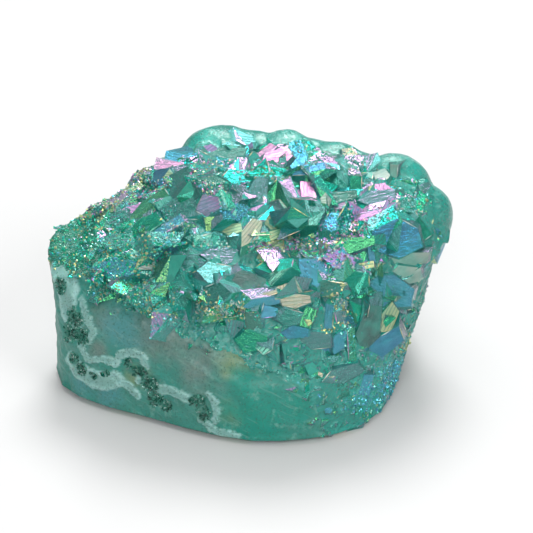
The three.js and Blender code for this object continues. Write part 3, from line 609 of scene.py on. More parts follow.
def crystal_material(name, growth, veils, film, see_through, rough, painted_step_glints):
    """Coated crystal. Light passes plainly through the body and is absorbed by depth; the coat is
    a thin film of the given thickness in nanometres over the growth lines. The growth steps are
    painted pale where they would glint, a painted highlight, and the grooves darker, a painted shade."""
    material, nodes, shader, output = empty_material(name)
    lines = nodes.add("ShaderNodeGroup", node_tree=growth)
    lines.inputs["Spacing"].default_value = 0.8
    place = nodes.add("ShaderNodeTexCoord").outputs["Object"]
    cloud = nodes.add("ShaderNodeTexNoise", {
        "Vector": place, "Scale": 260.0, "Detail": 4.0, "Roughness": 0.6})
    facet = nodes.add("ShaderNodeAttribute", attribute_name="facet_tint").outputs["Color"]
    patchy = nodes.ramp(cloud.outputs["Fac"], 0.35, 0.65)
    veil = nodes.add("ShaderNodeGroup", node_tree=veils)
    body = nodes.mix(nodes.maths("MULTIPLY", veil.outputs["Haze"], 0.45), facet, VEIL)
    ghosts = nodes.maths("MULTIPLY", veil.outputs["Ghosts"], 0.6)
    body = nodes.mix(ghosts, body, (0.55, 0.62, 0.64, 1), "MULTIPLY")
    body = nodes.mix(nodes.maths("MULTIPLY", patchy, 0.6), body, (0.6, 0.7, 0.7, 1), "MULTIPLY")
    # Painted highlight: pale colour laid on the growth steps where they would glint.
    bright = nodes.maths("MULTIPLY", lines.outputs["Lines"], painted_step_glints)
    body = nodes.mix(bright, body, (0.72, 0.92, 0.90, 1))
    # Painted shade: the grooves that the bump sinks are darkened.
    body = nodes.mix(nodes.maths("MULTIPLY", lines.outputs["Grooves"], 0.8), body, (0.10, 0.30, 0.26, 1))
    bump = nodes.add("ShaderNodeBump", {
        "Height": lines.outputs["Height"], "Strength": 0.35, "Distance": 0.0001})
    nodes.feed(shader.inputs["Base Color"], body)
    nodes.feed(shader.inputs["Roughness"], nodes.maths("ADD", nodes.maths("MULTIPLY", patchy, 0.10), rough))
    nodes.feed(shader.inputs["Normal"], bump.outputs[0])
    shader.inputs["IOR"].default_value = CRYSTAL_IOR
    shader.inputs["Transmission Weight"].default_value = see_through
    shader.inputs["Thin Film Thickness"].default_value = film
    shader.inputs["Thin Film IOR"].default_value = FILM_IOR
    absorb = nodes.add("ShaderNodeVolumeAbsorption")
    absorb.inputs["Color"].default_value = tint(colours().depth)
    absorb.inputs["Density"].default_value = ABSORPTION
    material.node_tree.links.new(absorb.outputs[0], output.inputs["Volume"])
    return material


def grain_material(name, body_colour, film):
    """Sugar grain: a small coated crystal, clouded inside, with a little sparkle from its film."""
    material, nodes, shader, _ = empty_material(name)
    place = nodes.add("ShaderNodeTexCoord").outputs["Object"]
    cloud = nodes.add("ShaderNodeTexNoise", {"Vector": place, "Scale": 700.0, "Detail": 2.0})
    dark = tint([0.45 * channel for channel in body_colour])
    body = nodes.mix(nodes.ramp(cloud.outputs["Fac"], 0.4, 0.62), tint(body_colour), dark)
    nodes.feed(shader.inputs["Base Color"], body)
    nodes.feed(shader.inputs["Roughness"], nodes.maths("MULTIPLY", cloud.outputs["Fac"], 0.25))
    shader.inputs["IOR"].default_value = CRYSTAL_IOR
    shader.inputs["Transmission Weight"].default_value = 0.4
    shader.inputs["Thin Film Thickness"].default_value = film
    shader.inputs["Thin Film IOR"].default_value = FILM_IOR
    return material


def matrix_material(name):
    """Waxy matrix: grey teal clouded with mauve and olive, speckled and scratched, with pale
    chalcedony bands and dark green pit floors where the mesh's own stains say so."""
    material, nodes, shader, _ = empty_material(name)
    place = nodes.add("ShaderNodeTexCoord").outputs["Object"]
    cloud = nodes.add("ShaderNodeTexNoise", {"Vector": place, "Scale": 55.0, "Detail": 5.0, "Roughness": 0.6})
    speck = nodes.add("ShaderNodeTexNoise", {
        "Vector": place, "Scale": 2300.0, "Detail": 3.0, "Roughness": 0.7})
    grit = nodes.add("ShaderNodeTexNoise", {"Vector": place, "Scale": 420.0, "Detail": 4.0, "Roughness": 0.7})
    base = tint(colours().matrix)
    colour = nodes.mix(nodes.ramp(cloud.outputs["Fac"], 0.42, 0.62), base, (0.018, 0.215, 0.172, 1))
    colour = nodes.mix(nodes.stain("mauve"), colour, (0.12, 0.19, 0.17, 1))
    colour = nodes.mix(nodes.stain("olive"), colour, (0.15, 0.23, 0.12, 1))
    colour = nodes.mix(nodes.stain("teal"), colour, (0.004, 0.225, 0.17, 1))
    colour = nodes.mix(nodes.stain("blue"), colour, (0.06, 0.24, 0.245, 1))
    colour = nodes.mix(nodes.stain("band"), colour, tint(colours().chalcedony))
    colour = nodes.mix(nodes.stain("rim"), colour, (0.27, 0.49, 0.46, 1))
    colour = nodes.mix(nodes.stain("pit"), colour, (0.04, 0.18, 0.14, 1))
    dark_speck = nodes.maths("MULTIPLY", nodes.ramp(speck.outputs["Fac"], 0.53, 0.63), 0.65)
    colour = nodes.mix(dark_speck, colour, (0.03, 0.12, 0.09, 1))
    drawn = nodes.add("ShaderNodeMapping", {
        "Vector": place, "Rotation": (0.0, 0.5, 0.0), "Scale": (10.0, 3.0, 1.0)})
    drawn.vector_type = "TEXTURE"
    scratch = nodes.add("ShaderNodeTexNoise", {"Vector": drawn.outputs[0], "Scale": 1400.0, "Detail": 2.0})
    scored = nodes.maths("MULTIPLY", nodes.ramp(scratch.outputs["Fac"], 0.60, 0.68), 0.22)
    gritty = nodes.maths("MULTIPLY", nodes.ramp(grit.outputs["Fac"], 0.56, 0.70), 0.45)
    pale_speck = nodes.maths("MAXIMUM", gritty, scored)
    colour = nodes.mix(pale_speck, colour, (0.20, 0.38, 0.33, 1))
    height = nodes.maths("ADD", speck.outputs["Fac"], nodes.maths("MULTIPLY", grit.outputs["Fac"], 2.0))
    bump = nodes.add("ShaderNodeBump", {"Height": height, "Strength": 0.5, "Distance": 0.00008})
    nodes.feed(shader.inputs["Base Color"], colour)
    rough = nodes.maths("ADD", nodes.maths("MULTIPLY", grit.outputs["Fac"], 0.3), 0.28)
    nodes.feed(shader.inputs["Roughness"], rough)
    nodes.feed(shader.inputs["Normal"], bump.outputs[0])
    shader.inputs["Subsurface Weight"].default_value = 0.25
    shader.inputs["Subsurface Scale"].default_value = 0.0015
    shader.inputs["Specular IOR Level"].default_value = 0.35
    shader.inputs["Coat Weight"].default_value = 0.06
    shader.inputs["Coat Roughness"].default_value = 0.25
    return material


def floor_material(name):
    """Plain pale paper with the faintest mottle."""
    material, nodes, shader, _ = empty_material(name)
    place = nodes.add("ShaderNodeTexCoord").outputs["Object"]
    cloud = nodes.add("ShaderNodeTexNoise", {"Vector": place, "Scale": 6.0, "Detail": 2.0})
    paper = nodes.mix(cloud.outputs["Fac"], (0.50, 0.50, 0.50, 1), (0.52, 0.52, 0.52, 1))
    nodes.feed(shader.inputs["Base Color"], paper)
    shader.inputs["Roughness"].default_value = 0.7
    return material


# ---- Zones ------------------------------------------------------------------------------------

ZONE_CRYSTAL, ZONE_WALL, ZONE_LUMP, ZONE_BASE, ZONE_SMALL, ZONE_NAMED = range(6)  # named zones count on


def round_angle(places):
    """How far round the cluster a place lies, in degrees from the right end: the angle of its x over
    the half length and its y over the half width."""
    return np.degrees(np.arctan2(places[:, 1] / HALF_WIDTH, places[:, 0] / HALF_LENGTH))


def matrix_share(places):
    """1 on the waxy matrix, 0 on the crust: how far a place lies under the matrix's wavy top edge,
    whose height is read off MATRIX_EDGE by the place's angle."""
    angles, heights = np.array(MATRIX_EDGE).T
    edge = np.interp(round_angle(places), angles, heights)
    edge = edge + 0.9 * layered_noise(places, 4.0, 31) + 0.5 * value_noise(places, 1.1, 35)
    return ease(edge - places[:, 2], -0.3, 0.5)


def lump_distance(places):
    """Each place's distance from the nearest rim lump, as a share of its radii: 1 is its skin."""
    nearest = np.full(len(places), 99.0)
    for centre, radii in RIM_LUMPS:
        nearest = np.minimum(nearest, np.linalg.norm((places - centre) / np.array(radii), axis=1))
    return nearest


def spots_in_view(pixels):
    """Millimetres right and up of the camera's aim at which these pixels of the view lie."""
    return (np.array(pixels, float) - VIEW_SIZE / 2) * (1, -1) / PIXELS_PER_MM


def on_solid(pixels, places, faces):
    """Where the sight lines through these pixels first meet the solid, and the lines' directions."""
    start, ways = sight_lines(spots_in_view(pixels))
    return start + first_hits(places, faces, start, ways)[:, None] * ways, ways


@functools.lru_cache(maxsize=1)
def wall_marks():
    """Places and sizes of the pits, bands and clouds of the wall. The sight line to a pit ends on
    the pit's floor, a radius behind its mouth."""
    places, faces = merged_copy(bpy.data.objects[NODE])
    solid = places / MM, faces
    pits = np.array(PIT_PIXELS, float)
    floor, ways = on_solid(pits[:, :2], *solid)
    marks = {"pits": np.column_stack([floor - pits[:, 2:] * ways, pits[:, 2]])}
    marks["bands"] = [(on_solid(path, *solid)[0], half) for path, half in BAND_PIXELS] + list(BACK_BANDS)
    for name, spots in CLOUD_PIXELS.items():
        spots = np.array(spots, float)
        front = np.column_stack([on_solid(spots[:, :2], *solid)[0], spots[:, 2]])
        marks[name] = np.concatenate([front, np.array(BACK_CLOUDS[name], float)])
    return marks


def pit_share(places):
    """1 in a pit, 0 away from all of them."""
    share = np.zeros(len(places))
    for x, y, z, radius in wall_marks()["pits"]:
        away = np.linalg.norm(places - (x, y, z), axis=1) + 0.25 * value_noise(places, 0.7, 44)
        share = np.maximum(share, 1 - ease(away, radius * 0.95, radius * 1.25 + 0.15))
    return share


def path_distance(places, path):
    """Distance from each place to the nearest point of a path of straight pieces."""
    nearest = np.full(len(places), 1e9)
    path = np.array(path, float)
    for a, b in zip(path[:-1], path[1:]):
        along = b - a
        t = np.clip((places - a) @ along / (along @ along), 0, 1)
        nearest = np.minimum(nearest, np.linalg.norm(places - a - t[:, None] * along, axis=1))
    return nearest


# ---- The crust's skin -----------------------------------------------------------------------------

def refine(places, faces, zone, step, rounds):
    """Splits every edge longer than `step` of the wall's and lumps' faces, in rounds, so that
    neighbours stay joined. Places are in millimetres."""
    mesh = plain_mesh("refining", places, faces, zone, [None] * (int(zone.max()) + 1))
    shape = bmesh.new()
    shape.from_mesh(mesh)
    bmesh.ops.dissolve_degenerate(shape, edges=shape.edges[:], dist=0.02)
    bmesh.ops.triangulate(shape, faces=[face for face in shape.faces if len(face.verts) > 3])
    for _ in range(rounds):
        long_edges = [edge for edge in shape.edges if edge.calc_length() > step
                      and any(face.material_index in (ZONE_WALL, ZONE_LUMP) for face in edge.link_faces)]
        if not long_edges:
            break
        bmesh.ops.subdivide_edges(shape, edges=long_edges, cuts=1)
        bmesh.ops.triangulate(shape, faces=[face for face in shape.faces if len(face.verts) > 3])
    shape.to_mesh(mesh)
    shape.free()
    places = read_array(mesh.vertices, "co", 3).astype(float)
    faces = read_array(mesh.loops, "vertex_index", 1, np.int32).reshape(-1, 3)
    zone = read_array(mesh.polygons, "material_index", 1, np.int32)
    bpy.data.meshes.remove(mesh)
    _, first, count = np.unique(np.sort(faces, axis=1), axis=0, return_index=True, return_counts=True)
    kept = np.sort(first[count == 1])
    return places, faces[kept], zone[kept]


def smooth(places, faces, free, rounds, strength=0.5):
    """Moves each free vertex `strength` of the way to the mean of its neighbours, in rounds."""
    edges = np.concatenate([faces[:, [0, 1]], faces[:, [1, 2]], faces[:, [2, 0]]])
    count = len(places)
    links = np.bincount(edges.ravel(), minlength=count)
    for _ in range(rounds):
        total = np.stack([np.bincount(edges[:, 0], places[edges[:, 1], k], count)
                          + np.bincount(edges[:, 1], places[edges[:, 0], k], count) for k in range(3)], 1)
        mean = total / np.maximum(links, 1)[:, None]
        places = places + strength * free[:, None] * (mean - places)
    return places


def vertex_normals(places, faces):
    """The area-weighted mean of the normals of the faces round each vertex."""
    a, b, c = places[faces[:, 0]], places[faces[:, 1]], places[faces[:, 2]]
    cross = np.cross(b - a, c - a)
    total = np.zeros_like(places)
    for k in range(3):
        for axis in range(3):
            total[:, axis] += np.bincount(faces[:, k], cross[:, axis], len(places))
    return rows_unit(total)


def band_masks(places):
    """How strongly each place belongs to the pale chalcedony bands, to their bright thin rims and to
    the mauve, olive, deep teal and blue clouds of the matrix."""
    wobble = places + 0.5 * np.stack([value_noise(places, 1.6, seed) for seed in (61, 62, 63)], 1)
    band = np.zeros(len(places))
    rim = np.zeros(len(places))
    marks = wall_marks()
    for path, half in marks["bands"]:
        away = path_distance(wobble, path)
        band = np.maximum(band, 1 - ease(away, half * 0.75, half * 1.15))
        ring = ease(away, half * 0.55, half * 0.85) * (1 - ease(away, half * 0.95, half * 1.2))
        rim = np.maximum(rim, ring)
    clouds = []
    for name, seed in CLOUD_SEEDS.items():
        cloud = np.zeros(len(places))
        for x, y, z, radius in marks[name]:
            away = np.linalg.norm(places - (x, y, z), axis=1)
            away = away + radius * 0.35 * layered_noise(places, 2.5, seed)
            cloud = np.maximum(cloud, 0.9 - 0.9 * ease(away, radius * 0.1, radius * 1.5))
        clouds.append(cloud)
    return band, rim, clouds


WALL_BEND_DEGREES = 27  # the matrix wall goes on over edges that bend less
BASE_HEIGHT = 0.05  # millimetres, under which a face is part of the flat base
REFINE_ROUNDS = 5
SMOOTH_ROUNDS = 14


def skin_zones(places, faces):
    """Each CAD triangle's zone: matrix wall and pits, rim lumps, flat base, or crystal."""
    centre, normal, _ = face_frames(places, faces)
    start = np.zeros(len(faces), bool)
    for seed in WALL_SEEDS:
        start[np.argmin(np.linalg.norm(centre - seed, axis=1))] = True
    base = centre[:, 2] < BASE_HEIGHT
    wall = spread(start, faces, normal, WALL_BEND_DEGREES) & ~base
    pits = (pit_share(centre) > 0.5) & ~base
    lumps = (lump_distance(centre) < 1.02) & (centre[:, 2] > 27) & ~wall
    bed = (np.abs(centre[:, 2] - bed_height(centre)) < 1.0) & (lump_distance(centre) > 1.05)
    zone = np.where(lumps, ZONE_LUMP, np.where(wall | pits | bed, ZONE_WALL, ZONE_CRYSTAL))
    zone[base] = ZONE_BASE
    return zone


def dress_skin(places, faces, zone):
    """Refines the matrix wall and the rim lumps, smooths away their flat CAD faces and roughens
    them: places move along their normals by layered noise, with the bands raised and the pits sunk."""
    step = sizes().wall_step / MM
    places, faces, zone = refine(places, faces, zone, step, REFINE_ROUNDS)
    soft = np.zeros(len(places), bool)
    hard = np.zeros(len(places), bool)
    rounded = (zone == ZONE_WALL) | (zone == ZONE_LUMP)
    soft[faces[rounded].ravel()] = True
    hard[faces[~rounded].ravel()] = True
    free = (soft & ~hard).astype(float)
    places = smooth(places, faces, free, SMOOTH_ROUNDS)
    normals = vertex_normals(places, faces)
    matrix = matrix_share(places)
    band, rim = np.zeros(len(places)), np.zeros(len(places))
    band[matrix > 0], rim[matrix > 0] = band_masks(places[matrix > 0])[:2]
    pit = pit_share(places)
    coarse = 0.28 * layered_noise(places, 3.2, 11) + 0.10 * layered_noise(places, 0.9, 15, 2)
    raised = 0.22 * band + 0.10 * rim - 0.10 * pit
    crust = 0.25 * np.abs(layered_noise(places, 1.6, 21)) - 0.2
    lift = np.where(lump_distance(places) < 1.1, 0.10 * layered_noise(places, 2.6, 25) - 0.1,
                    matrix * (coarse + raised - 0.25) + (1 - matrix) * crust)
    places = places + (free * lift)[:, None] * normals
    places[:, 2] = np.maximum(places[:, 2], 0)
    return places, faces, zone


# ---- Small crystals ---------------------------------------------------------------------------------

CRYSTAL_SIDES = 6
CRYSTAL_POINTS = 2 * CRYSTAL_SIDES + 1
OPEN_FACES = 3 * CRYSTAL_SIDES  # of a crystal's faces, those that aren't its foot


def crystal_faces():
    """Triangles of one crystal: a sunk ring, then a shoulder ring, then an apex. Its foot, which
    closes the sunk ring, comes last."""
    ring = np.arange(CRYSTAL_SIDES)
    after = (ring + 1) % CRYSTAL_SIDES
    upper, upper_after = ring + CRYSTAL_SIDES, after + CRYSTAL_SIDES
    sides = np.concatenate([np.stack([ring, after, upper], 1), np.stack([after, upper_after, upper], 1)])
    tip = np.stack([upper, upper_after, np.full(CRYSTAL_SIDES, 2 * CRYSTAL_SIDES)], 1)
    foot = np.array([(0, k + 1, k) for k in range(1, CRYSTAL_SIDES - 1)])
    return np.concatenate([sides, tip, foot])


def crystals(roots, normals, radius, rise, lean, kind, seed, sink=0.8, peak=0.9, flared=True,
             tilt=0.55):
    """Many small crystals at once. Each ring point is root + across * r * cos(a) + over * r * sin(a);
    the shoulder ring stands `rise` above the root along the axis and is drawn in, and the apex
    stands over it. `kind` 0 is a three-faced point, 1 a slanting chip and 2 a long blade. A flared
    crystal spreads towards its sunk foot."""
    random = np.random.default_rng(seed)
    count = len(roots)
    axis = rows_unit(normals + lean * rows_unit(random.normal(size=(count, 3))))
    side = rows_unit(np.cross(axis, rows_unit(random.normal(size=(count, 3)))))
    over = np.cross(axis, side)
    turn = np.arange(CRYSTAL_SIDES) * math.tau / CRYSTAL_SIDES
    angle = turn[None] + random.uniform(-0.22, 0.22, (count, CRYSTAL_SIDES))
    alternate = np.where(np.arange(CRYSTAL_SIDES) % 2 == 0, 1.0, 0.6)[None]
    uneven = 1 + random.uniform(-0.15, 0.15, (count, CRYSTAL_SIDES))
    width = radius[:, None] * uneven * np.where(kind[:, None] == 0, alternate, 1.0)
    stretch = np.where(kind == 2, 0.38, 1.0)[:, None]
    x = width * np.cos(angle)
    y = width * np.sin(angle) * stretch
    slope = random.uniform(-tilt, tilt, (2, count, 1)) * np.where(kind == 0, 0.1, 1.0)[None, :, None]
    draw = np.where(kind == 0, 0.92, random.uniform(0.62, 0.9, count))[:, None]
    top = rise[:, None] + draw * (slope[0] * x + slope[1] * y)
    apex_x = random.uniform(-0.25, 0.25, count) * radius * (kind == 0)
    apex_y = random.uniform(-0.25, 0.25, count) * radius * (kind == 0)
    apex_z = rise + np.where(kind == 0, random.uniform(0.6, 1.1, count) * peak * radius, 0.0)
    low = -sink * radius[:, None] * np.ones((1, CRYSTAL_SIDES))
    foot = np.where(kind == 0, 1.5, 1.9)[:, None] if flared else 1.0

    def put(px, py, pz):
        """Places given along each crystal's own side, over and axis."""
        return (roots[:, None] + px[..., None] * side[:, None] + py[..., None] * over[:, None]
                + pz[..., None] * axis[:, None])

    rings = np.concatenate([put(foot * x, foot * y, low), put(draw * x, draw * y, top),
                            put(apex_x[:, None], apex_y[:, None], apex_z[:, None])], 1)
    faces = crystal_faces()[None] + CRYSTAL_POINTS * np.arange(count)[:, None, None]
    return rings.reshape(-1, 3), faces.reshape(-1, 3)


def perches(places, faces, weight, cell, tries, seed):
    """Random places on the faces, one at most in each cubic cell: faces are drawn by area times
    weight, and the place on each is (1 - sqrt u) a + sqrt u (1 - v) b + sqrt u v c."""
    random = np.random.default_rng(seed)
    _, normal, area = face_frames(places, faces)
    share = area * weight
    drawn = random.choice(len(faces), tries, p=share / share.sum())
    u, v = np.sqrt(random.random((tries, 1))), random.random((tries, 1))
    spot = ((1 - u) * places[faces[drawn, 0]] + u * (1 - v) * places[faces[drawn, 1]]
            + u * v * places[faces[drawn, 2]])
    _, first = np.unique(np.floor(spot / cell).astype(int), axis=0, return_index=True)
    first = np.sort(first)
    return spot[first], normal[drawn[first]]


def back_clumps(places):
    """How thickly small crystals grow in clumps on the back wall."""
    return ease(value_noise(places, 7.0, 85), 0.0, 0.35) * (places[:, 1] > 4) * (places[:, 2] < 32)


BED_TOP = 39  # millimetres, at the crest of the crystal bed
BED_CREST = 9.4  # how far back the crest is
BED_FALL = 0.0105  # for each square millimetre of the way forward from the crest
BED_LEFT = -9.9  # from where the bed falls to the left
BED_LEFT_FALL = 0.3  # for each millimetre to the left
BED_LEFT_ROUND = 4  # millimetres over which that fall begins


def bed_height(places):
    """Level of the crystal bed: a crest along the back, falling towards the front by the square of
    the way, and to the left."""
    forward = np.minimum(0, places[:, 1] - BED_CREST)
    left = places[:, 0] - BED_LEFT
    fall_left = BED_LEFT_FALL * (np.hypot(left, BED_LEFT_ROUND) - left) / 2
    return BED_TOP - BED_FALL * forward ** 2 - fall_left


# ---- Main faces -----------------------------------------------------------------------------------------

FACE_DEPTH = 2.4  # millimetres that the crystal under a main face reaches into the crust
FACE_SPREAD = 2.2  # millimetres that its foot spreads past its top all round
FACE_TO_FRONT = 0.5  # how far a main face turns from the crust behind it towards the front
FACE_STAND = 0.1  # least height of a main face over the crust
FACE_RISE = 0.6  # and its most
FACE_REACH = 9  # how far round a main face the crust behind it is looked at
LINES_AT_ONCE = 150  # sight lines followed together
FINISH_LEAN = {"glint_white": 7, "pink": 6, "lilac": 5, "gold": 5, "mint": 2, "blue": -4, "deep": -14}  # degrees up


def view_axes():
    """Unit vectors to the camera's right, up and back towards it."""
    tip = math.radians(CAMERA_RISE)
    return (np.array((1.0, 0.0, 0.0)), np.array((0.0, math.sin(tip), math.cos(tip))),
            np.array((0.0, -math.cos(tip), math.sin(tip))))


def sight_lines(spots):
    """The camera's place and a unit vector from it through each spot right and up of its aim."""
    right, up, back = view_axes()
    ways = spots[:, :1] * right + spots[:, 1:] * up - CAMERA_DISTANCE * back
    return np.array(CAMERA_AIM) + CAMERA_DISTANCE * back, rows_unit(ways)


def first_hits(places, faces, start, ways):
    """How far along each line its first face lies: for corner a and edges e and f, the distance is
    f . (t x e) / e . (w x f), and the line is inside where both flat coordinates and their sum are
    within 0 and 1. A line that meets nothing gets no number."""
    a, b, c = (places[faces[:, k]] for k in range(3))
    e, f, t = b - a, c - a, start - a
    cross_wf = np.cross(ways[:, None], f[None])
    scale = (e[None] * cross_wf).sum(2)
    scale = np.where(np.abs(scale) < 1e-12, 1e-12, scale)
    u = (t[None] * cross_wf).sum(2) / scale
    cross_te = np.cross(t, e)
    v = (ways[:, None] * cross_te[None]).sum(2) / scale
    far = (f * cross_te).sum(1)[None] / scale
    inside = (u >= 0) & (v >= 0) & (u + v <= 1) & (far > 0)
    nearest = np.where(inside, far, np.inf).min(1)
    return np.where(np.isfinite(nearest), nearest, np.nan)


def inside_outline(places, faces, points):
    """True for each small crystal none of whose upper points is seen past the outline: every sight
    line to them still meets the solid."""
    upper = points.reshape(-1, CRYSTAL_POINTS, 3)[:, CRYSTAL_SIDES:]
    flat = seen_flat(upper.reshape(-1, 3))
    met = np.zeros(len(flat), bool)
    for first in range(0, len(flat), LINES_AT_ONCE):
        some = slice(first, first + LINES_AT_ONCE)
        met[some] = np.isfinite(first_hits(places, faces, *sight_lines(flat[some])))
    return met.reshape(-1, CRYSTAL_POINTS - CRYSTAL_SIDES).all(1)


def face_outline(number):
    """Corners of a main face: points on an ellipse at even turns, each moved a little, so that four
    give an uneven lozenge or plank and six a worn hexagon."""
    _, right, up, long, wide, turn, corners = MAIN_FACES[number]
    random = np.random.default_rng(900 + number)
    angle = (np.arange(corners) + 0.5 + random.uniform(-0.16, 0.16, corners)) * math.tau / corners
    reach = (1.0 / math.cos(math.pi / corners)) * random.uniform(0.98, 1.18, corners)
    x, y = reach * np.cos(angle) * long / 2, reach * np.sin(angle) * wide / 2
    cos, sin = math.cos(math.radians(turn)), math.sin(math.radians(turn))
    return np.stack([right + cos * x - sin * y, up + sin * x + cos * y], 1)


def face_crystal(places, faces, number):
    """A crystal whose flat top has a main face's outline: its plane is the best fit to the crust behind
    it, leaned, and stands just clear of it. Returns the points and triangles."""
    corners = face_outline(number)
    random = np.random.default_rng(950 + number)
    usual = FINISH_LEAN.get(MAIN_FACES[number][0], -6)
    lean = np.array((random.uniform(-8, 8), usual + random.uniform(-3, 3)))
    ring = len(corners)
    middle = corners.mean(0)
    flat = seen_flat(places[faces].mean(1))
    near = (np.abs(flat - middle) < np.abs(corners - middle).max(0) + FACE_REACH).all(1)
    faces = faces[near]
    between = (corners + np.roll(corners, -1, 0)) / 2
    probes = np.concatenate([corners, between, (corners + middle) / 2, middle[None]])
    start, ways = sight_lines(probes)
    depth = first_hits(places, faces, start, ways)
    depth = np.where(np.isnan(depth), np.nanmedian(depth), depth)
    hits = start + depth[:, None] * ways
    heart = np.median(hits, 0)
    normal = np.linalg.svd(hits - hits.mean(0))[2][2]
    right, up, back = view_axes()
    normal = rows_unit((normal * np.sign(normal @ back) + FACE_TO_FRONT * back)[None])[0]
    turn = np.tan(np.radians(lean))
    normal = rows_unit((normal + turn[0] * right + turn[1] * up)[None])[0]
    reach = ((heart - start) @ normal) / (ways @ normal)
    short = np.quantile(reach - depth, 0.9)
    reach = reach - np.clip(short + FACE_STAND, FACE_STAND, FACE_RISE)
    top = start + reach[:ring, None] * ways[:ring]
    centre = top.mean(0)
    spoke = top - centre
    length = np.linalg.norm(spoke, axis=1)[:, None]
    foot = centre + spoke * (1 + FACE_SPREAD / length) - FACE_DEPTH * normal
    covered = np.isfinite(first_hits(places, faces, *sight_lines(seen_flat(foot))))[:, None]
    foot = np.where(covered, foot, centre + 0.75 * spoke - FACE_DEPTH * normal)
    turned = np.arange(1, ring - 1)
    after = np.roll(np.arange(ring), -1)
    lid = np.stack([np.zeros(ring - 2, int), turned, turned + 1], 1)
    sides = np.concatenate([np.stack([np.arange(ring), np.arange(ring) + ring, after], 1),
                            np.stack([after, np.arange(ring) + ring, after + ring], 1)])
    tris = np.concatenate([lid, sides, lid[:, ::-1] + ring])
    area = np.cross(top - centre, np.roll(top, -1, 0) - centre).sum(0) @ normal
    return np.concatenate([top, foot]), tris if area >= 0 else tris[:, ::-1]


def seen_flat(spots):
    """Millimetres right and up of the camera's aim at which each spot is seen."""
    right, up, back = view_axes()
    way = spots - (np.array(CAMERA_AIM) + CAMERA_DISTANCE * back)
    shrink = CAMERA_DISTANCE / -(way @ back)
    return np.stack([(way @ right) * shrink, (way @ up) * shrink], 1)


def glitter_band(spots, facing):
    """The number of the glitter band that each spot lies in, or -1: bands are on the side that
    faces the camera, and their lines are kept to a tenth of a millimetre."""
    flat = seen_flat(spots)
    band = np.full(len(spots), -1)
    for number, (path, half, _) in enumerate(GLITTER):
        line = np.round(spots_in_view(path), 1)
        away = path_distance(np.pad(flat, ((0, 0), (0, 1))), np.pad(line, ((0, 0), (0, 1))))
        away = away * (0.7 + 0.6 * value_noise(spots, 1.5, 84))
        band[(away < half) & (facing > 0)] = number
    return band


# ---- One solid crust ----------------------------------------------------------------------------------

def plain_mesh(name, places, faces, slot, markers):
    """A mesh from arrays with its zone number kept as its material number."""
    mesh = bpy.data.meshes.new(name)
    mesh.from_pydata(places.tolist(), [], faces.tolist())
    for marker in markers:
        mesh.materials.append(marker)
    mesh.polygons.foreach_set("material_index", np.broadcast_to(slot, len(faces)).astype(np.int32))
    return mesh


def grown_together(places, faces, zone, crystal_sets, main_pieces):
    """Joins the skin and the small crystals into one closed solid. Crystals are shared out over
    groups in which none touches another: every third cell each way, so that each group is a
    clean solid of its own."""
    markers = [bpy.data.materials.new("zone") for _ in range(ZONE_NAMED + 2 * len(main_pieces))]
    scene = bpy.context.scene
    base = bpy.data.objects.new("skin", plain_mesh("skin", places, faces, zone, markers))
    scene.collection.objects.link(base)
    tools = bpy.data.collections.new("growing")
    scene.collection.children.link(tools)
    for roots, cell, points, tris in crystal_sets:
        key = (np.floor(roots / cell).astype(int) % 3) @ np.array([9, 3, 1])
        each = tris.reshape(len(roots), -1, 3)
        for group in np.unique(key):
            used, back = np.unique(each[key == group], return_inverse=True)
            mesh = plain_mesh("group", points[used], back.reshape(-1, 3), ZONE_SMALL, markers)
            tools.objects.link(bpy.data.objects.new("group", mesh))
    for number, (points, tris) in enumerate(main_pieces):
        slot = np.full(len(tris), ZONE_NAMED + len(main_pieces) + number)
        slot[:len(points) // 2 - 2] = ZONE_NAMED + number
        tools.objects.link(bpy.data.objects.new("face", plain_mesh("face", points, tris, slot, markers)))
    for tool in tools.objects:
        union = base.modifiers.new("union", "BOOLEAN")
        union.operation = "UNION"
        union.solver = "MANIFOLD"
        union.object = tool
        union.material_mode = "INDEX"
    graph = bpy.context.evaluated_depsgraph_get()
    result = base.evaluated_get(graph).to_mesh()
    result.calc_loop_triangles()
    grown = read_array(result.vertices, "co", 3).astype(float)
    corners = read_array(result.loop_triangles, "vertices", 3, np.int32)
    owner = read_array(result.loop_triangles, "polygon_index", 1, np.int32)
    slots = read_array(result.polygons, "material_index", 1, np.int32)
    base.evaluated_get(graph).to_mesh_clear()
    for piece in list(tools.objects) + [base]:
        data = piece.data
        bpy.data.objects.remove(piece)
        bpy.data.meshes.remove(data)
    bpy.data.collections.remove(tools)
    for marker in markers:
        bpy.data.materials.remove(marker)
    if len(grown) <= len(places) // 2:
        raise RuntimeError("the crystals didn't join the skin")
    return grown, corners, slots[owner]


SAME_FACET_DEGREES = 1.2  # neighbouring triangles that bend less are one facet


def facet_labels(faces, normals):
    """A number for each flat facet: neighbours whose normals agree take the lower number of the
    two until nothing changes."""
    _, left, right = shared_edges(faces)
    flat = (normals[left] * normals[right]).sum(1) > math.cos(math.radians(SAME_FACET_DEGREES))
    left, right = left[flat], right[flat]
    labels = np.arange(len(faces))
    while True:
        before = labels.copy()
        lower = np.minimum(labels[left], labels[right])
        np.minimum.at(labels, left, lower)
        np.minimum.at(labels, right, lower)
        labels = labels[labels]
        if (labels == before).all():
            break
    return np.unique(labels, return_inverse=True)[1].reshape(-1)


def finish_numbers(names):
    """The material number of each named finish."""
    return np.array([FINISHES.index(name) for name in names])


def pick(options, values):
    """The option that each value from 0 to 1 stands for."""
    return options[(values * 0.999 * len(options)).astype(int)]


